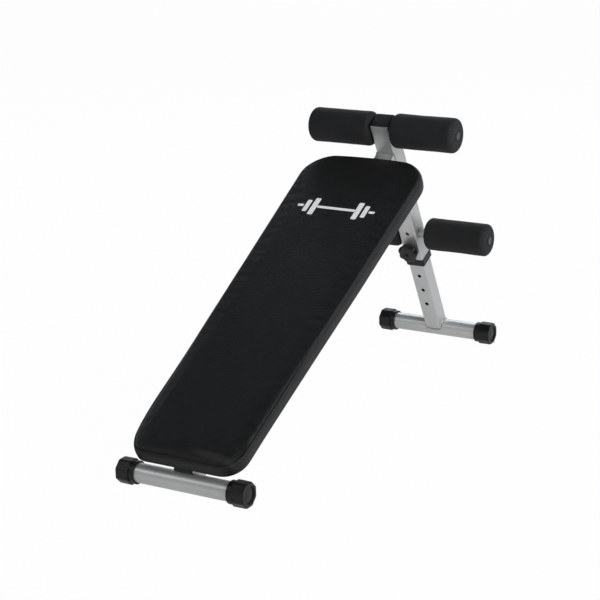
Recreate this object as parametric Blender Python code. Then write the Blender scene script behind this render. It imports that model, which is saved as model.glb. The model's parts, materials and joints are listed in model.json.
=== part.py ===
"""Decline sit-up bench.

A welded frame (round front foot, square backbone, leaning square upright)
carries an upholstered board and four foam leg rollers.  A smaller square leg
tube, welded to the round rear foot, slides inside the upright and is held by
a spring pin with a lobed knob.

Metres in the scene; every length below is in millimetres and goes through
MM.  +Z is up, +X is the sitter's width, +Y runs from the front foot (the low
end) to the rear foot; left is -X.  The origin is on the floor, midway
between the feet.
"""

import math

import bmesh
import bpy
from mathutils import Matrix, Vector

MM = 0.001

# ------------------------------------------------------------ dimensions, mm
GAP = 0.3                  # clearance kept between two pieces that touch
TUBE_WALL = 1.5            # every steel tube

# Feet
FEET_SPAN = 1248.0         # between the two foot axes
FOOT_DIA = 45.0
FOOT_SHOWN = 241.0         # foot tube length between its two caps
FOOT_SIDES = 32
CAP_FLATS = 56.5           # octagonal cap, across flats: it rests on one
CAP_LENGTH = 45.5
CAP_COLLAR_LENGTH = 12.0   # round collar at the cap's inner end
CAP_COLLAR_RADIUS = 26.7
CAP_SOCKET = 38.0          # depth of the cap's socket
CAP_SOCKET_SPARE = 1.0     # left between the tube's end and the socket floor
CAP_SIDES = 24
FOOT_AXIS_Z = CAP_FLATS / 2

# Upright and leg; heights are along the upright from the rear foot's axis
LEAN = 26.24               # degrees from vertical
UPRIGHT_WIDTH = 50.0       # square tube, also the backbone's
UPRIGHT_CORNER = 4.0       # outer corner radius
UPRIGHT_BOTTOM = 243.3
UPRIGHT_TOP = 697.0
LEG_WIDTH = 44.0           # across
LEG_DEPTH = 42.0           # front to back
LEG_BOTTOM = 4.0
LEG_TOP = 430.0
PLUG_WIDTH = 46.2          # plastic plugs sliding in the upright
PLUG_CORNER = 2.2
HOLE_PITCH = 50.0
HOLE_FIRST = 98.9
HOLE_COUNT = 7
HOLE_DIA = 10.4
PIN_HEIGHT = HOLE_FIRST + 4 * HOLE_PITCH   # the hole that the pin is in
SPARE_HOLE_HEIGHT = PIN_HEIGHT + HOLE_PITCH

# Bush at the upright's lower end
BUSH_FIT = 0.7             # added to a tube's width for the bush's bore
BUSH_FLOOR = 3.0           # thickness under the upright's end
BUSH_BOTTOM = UPRIGHT_BOTTOM - GAP - BUSH_FLOOR
COLLAR_TOP = 261.0
COLLAR_WIDTH = 52.6
SLEEVE_TOP = 279.0
SLEEVE_WIDTH = 46.3

# Roller bars and rollers
BAR_DIA = 25.0
BAR_SIDES = 24
SOCKET_FIT = 0.4           # radial, where a round tube enters a hole or cap
TOP_BAR_HEIGHT = 670.0
LOW_BAR_HEIGHT = 337.0
TOP_BAR_END = 201.0        # from the centre plane
LOW_BAR_END = 221.0
TOP_ROLLER_DIA = 88.0
LOW_ROLLER_DIA = 84.5
ROLLER_LENGTH = 173.0
ROLLER_OVERHANG = 1.0      # foam past the bar's end
ROLLER_BORE = 26.0
ROLLER_EDGE = 8.0          # edge rounding radius
ROLLER_SIDES = 24
LOW_LEFT_SHIFT = -20.5     # the lower left roller sits closer to the upright

# Board; its frame has Y up the slope and Z = 0 on the pad's top plane
SLOPE = 27.96              # degrees from level
BOARD_Z = FOOT_AXIS_Z + 80.27    # the pad's top plane above the front foot axis
PAD_THICKNESS = 38.0
PAD_START = -31.0          # pad ends, along the slope
PAD_END = 999.5
PAD_HALF_WIDTH = 146.0     # at the low end
PAD_FLARE = 24.0           # what the half width gains over PAD_FLARE_LENGTH
PAD_FLARE_LENGTH = 900.0
PAD_FLARE_POWER = 1.2
PAD_CORNER_LOW = 54.0
PAD_CORNER_HIGH = 79.0
PAD_CROWN_HIGH = 9.0       # bow of the pad's upper end
PAD_CORNER_STEPS = 5
PAD_SIDE_SPANS = 5         # divisions of each side between its corners
PAD_END_SPANS = 7          # divisions of the upper end
PLY_THICKNESS = 11.7
PLY_INSET = 10.0
PLY_BOTTOM = -PAD_THICKNESS
PLY_TOP = PLY_BOTTOM + PLY_THICKNESS
BRACKET_PLACES = (("front", 150.0), ("rear", 800.0))
BRACKET_LENGTH = 200.0     # across the bench
BRACKET_WIDTH = 40.0
BRACKET_CORNER = 7.0
BRACKET_THICKNESS = 2.5
BRACKET_TOP = PLY_BOTTOM - GAP
BRACKET_BOTTOM = BRACKET_TOP - BRACKET_THICKNESS
BACKBONE_TOP = BRACKET_BOTTOM - GAP
BACKBONE_START = 9.6       # up the slope from the front foot's axis
FIXING_SIDES = 12
BOLT_X = 75.0
BOLT_CORNER_RADIUS = 5.77  # hexagonal head, at its corners
BOLT_FLAT_RADIUS = 5.0     # and at the middle of its flats
BOLT_HEAD_HEIGHT = 4.0
WASHER_THICKNESS = 1.2

# Spring pin and knob, out from the upright's front face
PIN_RADIUS = 4.8
KNOB_DIA = 54.5
KNOB_LOBES = 7
KNOB_SIDES = 6 * KNOB_LOBES
KNOB_NEAR = 6.0
KNOB_FAR = 28.0
LOBE_DEPTH = 2.4
LOBE_SECOND_WAVE = 0.25    # share of a second wave at twice the lobe count
LOBE_MEAN_RADIUS = KNOB_DIA / 2 - (1 - LOBE_SECOND_WAVE) * LOBE_DEPTH

# ---------------------------------------------------------------- clean start
for old in list(bpy.data.objects):
    bpy.data.objects.remove(old, do_unlink=True)


# ------------------------------------------------------------------ materials
def material(name, colour, roughness, metallic=0.0):
    mat = bpy.data.materials.new(name)
    mat.use_nodes = True
    shader = mat.node_tree.nodes["Principled BSDF"]
    shader.inputs["Base Color"].default_value = (*colour, 1.0)
    shader.inputs["Roughness"].default_value = roughness
    shader.inputs["Metallic"].default_value = metallic
    mat.diffuse_color = (*colour, 1.0)
    return mat


SILVER = material("silver_paint", colour=(0.48, 0.48, 0.48), roughness=0.32, metallic=0.6)
PLASTIC = material("black_plastic", colour=(0.022, 0.022, 0.024), roughness=0.42)
KNOB_BLACK = material("knob_plastic", colour=(0.018, 0.018, 0.019), roughness=0.38)
FOAM = material("black_foam", colour=(0.020, 0.021, 0.022), roughness=0.82)
VINYL = material("black_leatherette", colour=(0.012, 0.013, 0.014), roughness=0.40)
PLYWOOD = material("plywood", colour=(0.50, 0.34, 0.18), roughness=0.75)
ZINC = material("zinc_plated_steel", colour=(0.62, 0.62, 0.60), roughness=0.30, metallic=1.0)
SPRING_STEEL = material("spring_steel", colour=(0.40, 0.40, 0.42), roughness=0.35, metallic=1.0)


# -------------------------------------------------------------------- outlines
def polar(radius, angle):
    return (radius * math.cos(angle), radius * math.sin(angle))


def circle(radius, sides):
    return [polar(radius, 2 * math.pi * i / sides) for i in range(sides)]


def rectangle(width, depth, radius, steps=3):
    """Rounded rectangle, width by depth outside, steps segments to a corner."""
    across, along = width / 2 - radius, depth / 2 - radius
    outline = []
    for i, (sign_x, sign_y) in enumerate(((1, 1), (-1, 1), (-1, -1), (1, -1))):
        for k in range(steps + 1):
            x, y = polar(radius, math.pi / 2 * (i + k / steps))
            outline.append((sign_x * across + x, sign_y * along + y))
    return outline


def octagon(flats):
    """Octagon with a flat straight down and chamfered corners: three points
    on each flat, 15 degrees apart."""
    outline = []
    for i in range(CAP_SIDES):
        angle = 2 * math.pi * i / CAP_SIDES
        off_flat = (angle + math.pi / 8) % (math.pi / 4) - math.pi / 8
        outline.append(polar(flats / 2 / math.cos(off_flat), angle))
    return outline


def hexagon():
    """Bolt head: a point on each corner and one on each flat."""
    outline = []
    for i in range(6):
        outline.append(polar(BOLT_CORNER_RADIUS, math.pi * i / 3))
        outline.append(polar(BOLT_FLAT_RADIUS, math.pi * (i + 0.5) / 3))
    return outline


def lobed(mean_radius, depth):
    """The knob's outline."""
    outline = []
    for i in range(KNOB_SIDES):
        angle = 2 * math.pi * i / KNOB_SIDES
        wave = math.cos(KNOB_LOBES * angle)
        wave -= LOBE_SECOND_WAVE * math.cos(2 * KNOB_LOBES * angle)
        outline.append(polar(mean_radius + depth * wave, angle))
    return outline


def at(outline, z):
    return [Vector((x, y, z)) for x, y in outline]


# ---------------------------------------------------------------------- solids
def lofted(name, loops, mat, ring=False):
    """A closed solid through loops of equal count.  ring joins the last loop
    to the first, for a piece with a bore; otherwise both ends are filled."""
    bm = bmesh.new()
    rows = [[bm.verts.new(point * MM) for point in loop] for loop in loops]
    count = len(rows[0])
    pairs = list(zip(rows, rows[1:]))
    if ring:
        pairs.append((rows[-1], rows[0]))
    else:
        bm.faces.new(list(reversed(rows[0])))
        bm.faces.new(rows[-1])
    for low, high in pairs:
        for i in range(count):
            j = (i + 1) % count
            bm.faces.new((low[i], low[j], high[j], high[i]))
    bmesh.ops.recalc_face_normals(bm, faces=bm.faces)
    mesh = bpy.data.meshes.new(name)
    bm.to_mesh(mesh)
    bm.free()
    mesh.materials.append(mat)
    mesh.shade_smooth()
    mesh.set_sharp_from_angle(angle=math.radians(35))
    return linked(name, mesh)


def linked(name, data):
    obj = bpy.data.objects.new(name, data)
    bpy.context.scene.collection.objects.link(obj)
    return obj


def tube(name, outer, inner, start, end):
    """A straight silver tube between two planes."""
    loops = [at(outer, start), at(outer, end), at(inner, end), at(inner, start)]
    return lofted(name, loops, SILVER, ring=True)


def round_tube(name, diameter, sides, start, end):
    outer = circle(diameter / 2, sides)
    return tube(name, outer, circle(diameter / 2 - TUBE_WALL, sides), start, end)


def turned(name, profile, sides, mat, ring=False):
    """A solid of revolution about local Z from (radius, z) pairs."""
    return lofted(name, [at(circle(radius, sides), z) for radius, z in profile], mat, ring)


def rod(name, radius, start, end, sides, mat=SILVER):
    return turned(name, [(radius, start), (radius, end)], sides, mat)


def stacked(name, stations, mat, ring=False):
    """A solid through rounded rectangles: (width, depth, corner radius, z)."""
    loops = [at(rectangle(*station[:3]), station[3]) for station in stations]
    return lofted(name, loops, mat, ring)


def cut(obj, cutter):
    cutter.hide_render = True
    cutter.display_type = "WIRE"
    mod = obj.modifiers.new("cut_" + cutter.name, "BOOLEAN")
    mod.operation = "DIFFERENCE"
    mod.solver = "EXACT"
    mod.object = cutter


# ---------------------------------------------------------------------- frames
ALONG_X = Matrix.Rotation(math.radians(90), 4, "Y")      # local Z to +X
ALONG_MINUS_X = Matrix.Rotation(math.radians(-90), 4, "Y")
FORWARD = Matrix.Rotation(math.radians(90), 4, "X")      # local Z to the parent's -Y
SIDES = (("left", -1, ALONG_MINUS_X), ("right", 1, ALONG_X))


def place(obj, parent, location=(0, 0, 0), turn=None):
    """Puts an object in its parent's frame: turn first, then location in mm."""
    obj.parent = parent
    obj.matrix_local = Matrix.Translation(Vector(location) * MM) @ (turn or Matrix.Identity(4))
    return obj


def axis_empty(name, y, z, tilt=0.0):
    """A frame on the centre plane, tilted about X by degrees."""
    empty = bpy.data.objects.new(name, None)
    empty.empty_display_size = 0.05
    turn = Matrix.Rotation(math.radians(tilt), 4, "X")
    empty.matrix_world = Matrix.Translation(Vector((0, y, z)) * MM) @ turn
    bpy.context.scene.collection.objects.link(empty)
    return empty


# upright_axis: origin on the rear foot's axis, Z up the upright, Y rearwards.
# board_plane: Y up the slope, Z out of the pad.
upright_axis = axis_empty("upright_axis", FEET_SPAN / 2, FOOT_AXIS_Z, LEAN)
board_plane = axis_empty("board_plane", -FEET_SPAN / 2, BOARD_Z, SLOPE)
front_axis = axis_empty("front_foot_axis", -FEET_SPAN / 2, FOOT_AXIS_Z)
rear_axis = axis_empty("rear_foot_axis", FEET_SPAN / 2, FOOT_AXIS_Z)


# ------------------------------------------------------------------------ feet
def foot_cap(name):
    """Local Z outward, 0 at the inner end; the first loop is the socket's floor."""
    bore = circle(FOOT_DIA / 2 + SOCKET_FIT, CAP_SIDES)
    collar = circle(CAP_COLLAR_RADIUS, CAP_SIDES)
    drum = octagon(CAP_FLATS)
    drum_edge = octagon(CAP_FLATS - 3.0)
    loops = [
        at(bore, CAP_SOCKET),
        at(bore, 0.0),
        at(collar, 0.0),
        at(collar, CAP_COLLAR_LENGTH),
        at(drum_edge, CAP_COLLAR_LENGTH),
        at(drum, CAP_COLLAR_LENGTH + 1.5),
        at(drum, CAP_LENGTH - 1.8),
        at(drum_edge, CAP_LENGTH),
        at(circle(20.0, CAP_SIDES), CAP_LENGTH),
        at(circle(19.0, CAP_SIDES), CAP_LENGTH - 2.0),   # floor of the end dish
    ]
    return lofted(name, loops, PLASTIC)


def foot(end, axis):
    half = FOOT_SHOWN / 2 + CAP_SOCKET - CAP_SOCKET_SPARE
    bar = round_tube(f"{end}_foot_tube", FOOT_DIA, FOOT_SIDES, -half, half)
    place(bar, axis, turn=ALONG_X)
    right = foot_cap(f"{end}_foot_cap_right")
    place(right, axis, (FOOT_SHOWN / 2, 0, 0), ALONG_X)
    left = linked(f"{end}_foot_cap_left", right.data)
    place(left, axis, (-FOOT_SHOWN / 2, 0, 0), ALONG_MINUS_X)


def cope_cutter(name, axis):
    """Cuts a tube's end to fit round a foot tube."""
    cutter = rod(name, FOOT_DIA / 2 + GAP, -60, 60, FOOT_SIDES)
    return place(cutter, axis, turn=ALONG_X)


foot("front", front_axis)
foot("rear", rear_axis)


# ------------------------------------------------------------- upright and leg
def front_hole(name, height):
    """A cutter through a front wall, along the pin's direction."""
    hole = rod(name, HOLE_DIA / 2, 0, 22, sides=16)
    return place(hole, upright_axis, (0, -12, height), FORWARD)


def upright_tube():
    bore = UPRIGHT_WIDTH - 2 * TUBE_WALL
    upright = tube(
        "upright_tube",
        rectangle(UPRIGHT_WIDTH, UPRIGHT_WIDTH, UPRIGHT_CORNER),
        rectangle(bore, bore, UPRIGHT_CORNER - TUBE_WALL),
        UPRIGHT_BOTTOM,
        UPRIGHT_TOP,
    )
    place(upright, upright_axis)
    cut(upright, front_hole("cut_pin_hole", PIN_HEIGHT))
    cut(upright, front_hole("cut_spare_hole", SPARE_HOLE_HEIGHT))
    bar_hole = rod("cut_top_bar", BAR_DIA / 2 + SOCKET_FIT, -40, 40, BAR_SIDES)
    cut(upright, place(bar_hole, upright_axis, (0, 0, TOP_BAR_HEIGHT), ALONG_X))


def top_plug():
    """A stem inside the upright's top and a head over its end."""
    head = UPRIGHT_WIDTH
    stations = [
        (PLUG_WIDTH - 1.0, PLUG_WIDTH - 1.0, 2.0, UPRIGHT_TOP - 13.0),
        (PLUG_WIDTH, PLUG_WIDTH, PLUG_CORNER, UPRIGHT_TOP - 11.0),
        (PLUG_WIDTH, PLUG_WIDTH, PLUG_CORNER, UPRIGHT_TOP + GAP),
        (head, head, UPRIGHT_CORNER, UPRIGHT_TOP + GAP),
        (head, head, UPRIGHT_CORNER, UPRIGHT_TOP + 2.2),
        (head - 3.0, head - 3.0, 3.0, UPRIGHT_TOP + 3.6),
    ]
    place(stacked("upright_top_plug", stations, PLASTIC), upright_axis)


def leg_bush():
    """A cup over the upright's lower end, with a sleeve inside it that the
    leg slides in."""
    bore = (LEG_WIDTH + BUSH_FIT, LEG_DEPTH + BUSH_FIT, 3.2)
    collar = (COLLAR_WIDTH, COLLAR_WIDTH, 6.0)
    cup = (UPRIGHT_WIDTH + BUSH_FIT, UPRIGHT_WIDTH + BUSH_FIT, 4.3)
    sleeve = (SLEEVE_WIDTH, SLEEVE_WIDTH, 2.2)
    stations = [
        (*bore, BUSH_BOTTOM),
        (COLLAR_WIDTH - 2.0, COLLAR_WIDTH - 2.0, 5.0, BUSH_BOTTOM),
        (*collar, BUSH_BOTTOM + 1.2),
        (*collar, COLLAR_TOP - 1.0),
        (COLLAR_WIDTH - 1.6, COLLAR_WIDTH - 1.6, 5.2, COLLAR_TOP),
        (*cup, COLLAR_TOP),
        (*cup, BUSH_BOTTOM + BUSH_FLOOR),
        (*sleeve, BUSH_BOTTOM + BUSH_FLOOR),
        (*sleeve, SLEEVE_TOP),
        (*bore, SLEEVE_TOP),
    ]
    place(stacked("leg_bush", stations, PLASTIC, ring=True), upright_axis)


def leg_tube():
    leg = tube(
        "leg_tube",
        rectangle(LEG_WIDTH, LEG_DEPTH, 3.0),
        rectangle(LEG_WIDTH - 2 * TUBE_WALL, LEG_DEPTH - 2 * TUBE_WALL, 1.6),
        LEG_BOTTOM,
        LEG_TOP,
    )
    place(leg, upright_axis)
    cut(leg, cope_cutter("cut_rear_cope", rear_axis))
    for i in range(HOLE_COUNT):
        cut(leg, front_hole(f"cut_leg_hole_{i + 1}", HOLE_FIRST + i * HOLE_PITCH))


def leg_guide_plug():
    """A stem inside the leg's top and a head that fills the upright's bore."""
    stations = [
        (LEG_WIDTH - 4.6, LEG_DEPTH - 4.6, 1.4, LEG_TOP - 18.0),
        (LEG_WIDTH - 3.8, LEG_DEPTH - 3.8, 1.4, LEG_TOP - 16.0),
        (LEG_WIDTH - 3.8, LEG_DEPTH - 3.8, 1.4, LEG_TOP + GAP),
        (PLUG_WIDTH, PLUG_WIDTH, PLUG_CORNER, LEG_TOP + GAP),
        (PLUG_WIDTH, PLUG_WIDTH, PLUG_CORNER, LEG_TOP + 5.0),
        (PLUG_WIDTH - 1.6, PLUG_WIDTH - 1.6, 2.0, LEG_TOP + 6.0),
    ]
    place(stacked("leg_guide_plug", stations, PLASTIC), upright_axis)


upright_tube()
top_plug()
leg_bush()
leg_tube()
leg_guide_plug()


# -------------------------------------------------------------------- backbone
def backbone_tube():
    """Square tube parallel to the board.  Its high end is mitred to lie on the
    upright's front face; its low end is coped round the front foot tube."""
    to_board = board_plane.matrix_world.inverted()
    upright_to_board = to_board @ upright_axis.matrix_world
    face_normal = upright_to_board.to_3x3() @ Vector((0, 1, 0))
    face_point = upright_to_board @ Vector((0, -(UPRIGHT_WIDTH / 2 + GAP) * MM, 0)) / MM
    foot_y = (to_board @ front_axis.matrix_world.translation).y / MM

    def end_loop(width, radius, high):
        loop = []
        for x, z in rectangle(width, width, radius):
            z += BACKBONE_TOP - UPRIGHT_WIDTH / 2
            y = foot_y + BACKBONE_START
            if high:
                y = face_point.y - (z - face_point.z) * face_normal.z / face_normal.y
            loop.append(Vector((x, y, z)))
        return loop

    outer = (UPRIGHT_WIDTH, UPRIGHT_CORNER)
    inner = (UPRIGHT_WIDTH - 2 * TUBE_WALL, UPRIGHT_CORNER - TUBE_WALL)
    loops = [
        end_loop(*outer, high=False),
        end_loop(*outer, high=True),
        end_loop(*inner, high=True),
        end_loop(*inner, high=False),
    ]
    backbone = lofted("backbone_tube", loops, SILVER, ring=True)
    place(backbone, board_plane)
    cut(backbone, cope_cutter("cut_front_cope", front_axis))


backbone_tube()


# --------------------------------------------------------- spring pin and knob
# Local Z runs out of the upright's front face, 0 on the face.
def on_face(obj):
    place(obj, upright_axis, (0, -UPRIGHT_WIDTH / 2, PIN_HEIGHT), FORWARD)


def pin_housing():
    profile = [
        (8.5, GAP), (11.0, GAP), (11.0, 19.7), (10.2, 20.5),
        (5.2, 20.5), (5.2, 17.5), (8.5, 17.5),
    ]
    on_face(turned("pin_housing", profile, 18, ZINC, ring=True))


def lock_pin():
    """A shank with a tapered inner tip, a flange and a thinner outer end."""
    profile = [
        (3.6, -9.0), (PIN_RADIUS, -7.6), (PIN_RADIUS, 1.0), (7.8, 1.0), (7.8, 3.0),
        (PIN_RADIUS, 3.0), (PIN_RADIUS, 21.7), (4.0, 21.7), (4.0, 25.6),
    ]
    on_face(turned("lock_pin", profile, 16, ZINC))


def knob():
    # (mean radius, lobe depth, z); no depth is a plain circle
    stations = [
        (12.2, 0, KNOB_NEAR),
        (17.5, 0, KNOB_NEAR),
        (LOBE_MEAN_RADIUS - 4.0, LOBE_DEPTH, KNOB_NEAR + 3.0),
        (LOBE_MEAN_RADIUS - 0.8, LOBE_DEPTH, KNOB_NEAR + 7.0),
        (LOBE_MEAN_RADIUS, LOBE_DEPTH, KNOB_FAR - 7.0),
        (LOBE_MEAN_RADIUS - 1.2, LOBE_DEPTH, KNOB_FAR - 2.4),
        (LOBE_MEAN_RADIUS - 4.0, LOBE_DEPTH * 0.8, KNOB_FAR - 0.4),
        (17.0, 0, KNOB_FAR),
        (5.6, 0, KNOB_FAR),
        (5.2, 0, 26.0),
        (4.3, 0, 26.0),
        (4.3, 0, 22.0),
        (12.2, 0, 22.0),
    ]
    loops = [at(lobed(radius, depth), z) for radius, depth, z in stations]
    on_face(lofted("knob", loops, KNOB_BLACK, ring=True))


def coil(name, mean_radius, wire_radius, start, end, turns, mat):
    """A compression spring: a wire swept along a helix, ends filled."""
    turn_steps, wire_sides = 12, 5
    steps = turn_steps * turns
    rise = (end - start - 2 * wire_radius) / steps
    pitch_angle = math.atan2(rise * turn_steps, 2 * math.pi * mean_radius)
    loops = []
    for i in range(steps + 1):
        out = Vector((*polar(1, 2 * math.pi * i / turn_steps), 0))
        centre = out * mean_radius + Vector((0, 0, start + wire_radius + rise * i))
        along = Vector((-out.y, out.x, 0)) * math.cos(pitch_angle)
        along.z = math.sin(pitch_angle)
        up = out.cross(along)
        section = circle(wire_radius, wire_sides)
        loops.append([centre + out * x + up * y for x, y in section])
    return lofted(name, loops, mat)


pin_housing()
lock_pin()
knob()
on_face(
    coil(
        "pin_spring",
        mean_radius=6.4,
        wire_radius=0.5,
        start=3.4,
        end=17.1,
        turns=4,
        mat=SPRING_STEEL,
    )
)


# --------------------------------------------------------- roller bars, rollers
def bar_plug(name):
    """A stem inside the bar, a slightly domed head over its end.  Local Z
    outward, 0 at the bar's end."""
    head = BAR_DIA / 2
    profile = [(10.6, -12.0), (10.6, GAP), (head, GAP), (head, 1.6), (11.2, 2.8), (6.0, 3.4)]
    return turned(name, profile, 20, PLASTIC)


def foam_roller(name, diameter, inner_end):
    """Foam tube with rounded edges.  Local Z outward, 0 on the centre plane."""
    outer_end = inner_end + ROLLER_LENGTH
    flat = diameter / 2 - ROLLER_EDGE       # radius of the flat end face
    arc = [polar(ROLLER_EDGE, math.pi / 4 * k) for k in range(3)]
    profile = [
        (ROLLER_BORE / 2, inner_end),
        *((flat + y, inner_end + ROLLER_EDGE - x) for x, y in arc),
        *((flat + x, outer_end - ROLLER_EDGE + y) for x, y in arc),
        (ROLLER_BORE / 2, outer_end),
    ]
    return turned(name, profile, ROLLER_SIDES, FOAM, ring=True)


def top_bar():
    bar = round_tube("top_roller_bar", BAR_DIA, BAR_SIDES, -TOP_BAR_END, TOP_BAR_END)
    place(bar, upright_axis, (0, 0, TOP_BAR_HEIGHT), ALONG_X)


def lower_bar(side, outward):
    """A stub from the upright's side."""
    start = UPRIGHT_WIDTH / 2 + GAP
    stub = round_tube(f"lower_roller_bar_{side}", BAR_DIA, BAR_SIDES, start, LOW_BAR_END)
    place(stub, upright_axis, (0, 0, LOW_BAR_HEIGHT), outward)


top_bar()
for side, sign, outward in SIDES:
    lower_bar(side, outward)
    for level, height, bar_end, diameter in (
        ("top", TOP_BAR_HEIGHT, TOP_BAR_END, TOP_ROLLER_DIA),
        ("lower", LOW_BAR_HEIGHT, LOW_BAR_END, LOW_ROLLER_DIA),
    ):
        plug = bar_plug(f"{level}_bar_plug_{side}")
        place(plug, upright_axis, (sign * bar_end, 0, height), outward)
        inner_end = bar_end + ROLLER_OVERHANG - ROLLER_LENGTH
        if (level, side) == ("lower", "left"):
            inner_end += LOW_LEFT_SHIFT
        roller = foam_roller(f"{level}_foam_roller_{side}", diameter, inner_end)
        place(roller, upright_axis, (0, 0, height), outward)


# ------------------------------------------------------------------------- pad
def half_width(y):
    """The pad's half width at slope distance y: nearly straight low down,
    opening towards the high end."""
    return PAD_HALF_WIDTH + PAD_FLARE * (max(y, 0.0) / PAD_FLARE_LENGTH) ** PAD_FLARE_POWER


def pad_loop(inset, z):
    """The pad's plan at height z, counter-clockwise from the low end: large
    corners, flared sides and a bowed high end."""
    low_end = PAD_START + inset
    high_end = PAD_END - PAD_CROWN_HIGH - inset
    low_radius = PAD_CORNER_LOW - 0.5 * inset
    high_radius = PAD_CORNER_HIGH - 0.5 * inset
    low_side, high_side = low_end + low_radius, high_end - high_radius
    widest = half_width(high_end - 0.55 * high_radius) - inset
    corner = [polar(1, math.pi / 2 * k / PAD_CORNER_STEPS) for k in range(PAD_CORNER_STEPS + 1)]

    def bow(x):
        return PAD_CROWN_HIGH * (1 - (x / widest) ** 2)

    right = []
    for cosine, sine in corner:
        y = low_end + low_radius * (1 - cosine)
        right.append((half_width(y) - inset - low_radius * (1 - sine), y))
    for k in range(1, PAD_SIDE_SPANS):
        y = low_side + (high_side - low_side) * k / PAD_SIDE_SPANS
        right.append((half_width(y) - inset, y))
    for cosine, sine in corner:
        y = high_end - high_radius * (1 - sine)
        x = min(half_width(y) - inset, widest) - high_radius * (1 - cosine)
        right.append((x, y + bow(x) * sine))
    end = []
    for k in range(1, PAD_END_SPANS):
        x = right[-1][0] * (1 - 2 * k / PAD_END_SPANS)
        end.append((x, high_end + bow(x)))
    left = [(-x, y) for x, y in reversed(right)]
    return at(right + end + left, z)


def pad_cushion():
    """Starts at the roof of the recess that holds the plywood."""
    stations = [                    # (inset, z)
        (PLY_INSET - 0.4, PLY_TOP + GAP),
        (PLY_INSET - 0.4, PLY_BOTTOM),
        (2.2, PLY_BOTTOM),
        (0.6, PLY_BOTTOM + 4.0),
        (0.0, PLY_BOTTOM + 16.0),
        (1.8, -11.0),
        (7.0, -4.0),
        (17.0, 0.0),
    ]
    loops = [pad_loop(inset, z) for inset, z in stations]
    return place(lofted("pad_cushion", loops, VINYL), board_plane)


def pad_plywood():
    loops = [pad_loop(PLY_INSET, PLY_BOTTOM), pad_loop(PLY_INSET, PLY_TOP)]
    return place(lofted("pad_plywood", loops, PLYWOOD), board_plane)


def pad_bracket(end, y):
    """A flat plate lying across the backbone, against the plywood."""
    outline = (BRACKET_LENGTH, BRACKET_WIDTH, BRACKET_CORNER)
    stations = [(*outline, BRACKET_BOTTOM), (*outline, BRACKET_TOP)]
    return place(stacked(f"pad_bracket_{end}", stations, SILVER), board_plane, (0, y, 0))


# ----------------------------------------------------------------- pad fixings
def fixing_holes(tag, spot, plate, plywood, cushion):
    for obj, part, radius, start, end, mat in (
        (plate, "web", 3.5, BRACKET_BOTTOM - 2, PLY_BOTTOM + 0.1, SILVER),
        (plywood, "ply", 4.7, PLY_BOTTOM - 1, PLY_TOP + 1, PLYWOOD),
        (cushion, "foam", 11.0, PLY_TOP - 1, PLY_TOP + 3.0, VINYL),
    ):
        cutter = rod(f"cut_{part}_{tag}", radius, start, end, FIXING_SIDES, mat)
        cut(obj, place(cutter, board_plane, spot))


def t_nut(tag):
    """A barrel in the plywood with a flange on its top face."""
    flange = PLY_TOP + GAP
    profile = [
        (3.3, PLY_TOP - 8.0), (4.2, PLY_TOP - 8.0), (4.2, flange),
        (9.5, flange), (9.5, flange + 1.2), (3.3, flange + 1.2),
    ]
    return turned(f"pad_t_nut_{tag}", profile, FIXING_SIDES, ZINC, ring=True)


def washer(tag):
    top = BRACKET_BOTTOM - GAP
    bottom = top - WASHER_THICKNESS
    profile = [(3.3, bottom), (6.2, bottom), (6.2, top), (3.3, top)]
    return turned(f"pad_washer_{tag}", profile, FIXING_SIDES, ZINC, ring=True)


def bolt(tag):
    """Hexagonal head under the washer, shank up through the T-nut."""
    head_top = BRACKET_BOTTOM - WASHER_THICKNESS - 2 * GAP
    head_bottom = head_top - BOLT_HEAD_HEIGHT
    head = hexagon()
    shank = circle(2.95, FIXING_SIDES)
    loops = [
        at([(x * 0.93, y * 0.93) for x, y in head], head_bottom),
        at(head, head_bottom + 0.5),
        at(head, head_top),
        at(shank, head_top),
        at(shank, PLY_TOP - 0.5),
        at(circle(2.4, FIXING_SIDES), PLY_TOP + 0.8),
    ]
    return lofted(f"pad_bolt_{tag}", loops, ZINC)


cushion = pad_cushion()
plywood = pad_plywood()
for end, y in BRACKET_PLACES:
    plate = pad_bracket(end, y)
    for side, sign, _ in SIDES:
        tag = f"{end}_{side}"
        spot = (sign * BOLT_X, y, 0)
        # Cutters share the board's frame, although the plate is set at y.
        fixing_holes(tag, spot, plate, plywood, cushion)
        for fixing in (t_nut(tag), washer(tag), bolt(tag)):
            place(fixing, board_plane, spot)
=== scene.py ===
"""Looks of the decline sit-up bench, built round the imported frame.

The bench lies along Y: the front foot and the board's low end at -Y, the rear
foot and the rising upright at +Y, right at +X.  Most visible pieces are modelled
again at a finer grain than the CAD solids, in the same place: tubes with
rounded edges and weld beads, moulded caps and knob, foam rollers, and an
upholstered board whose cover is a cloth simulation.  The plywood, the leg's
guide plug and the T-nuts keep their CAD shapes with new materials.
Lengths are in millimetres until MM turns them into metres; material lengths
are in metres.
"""

import json
import math

import bmesh
import bpy
import numpy as np
from mathutils import Matrix, Vector

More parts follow.
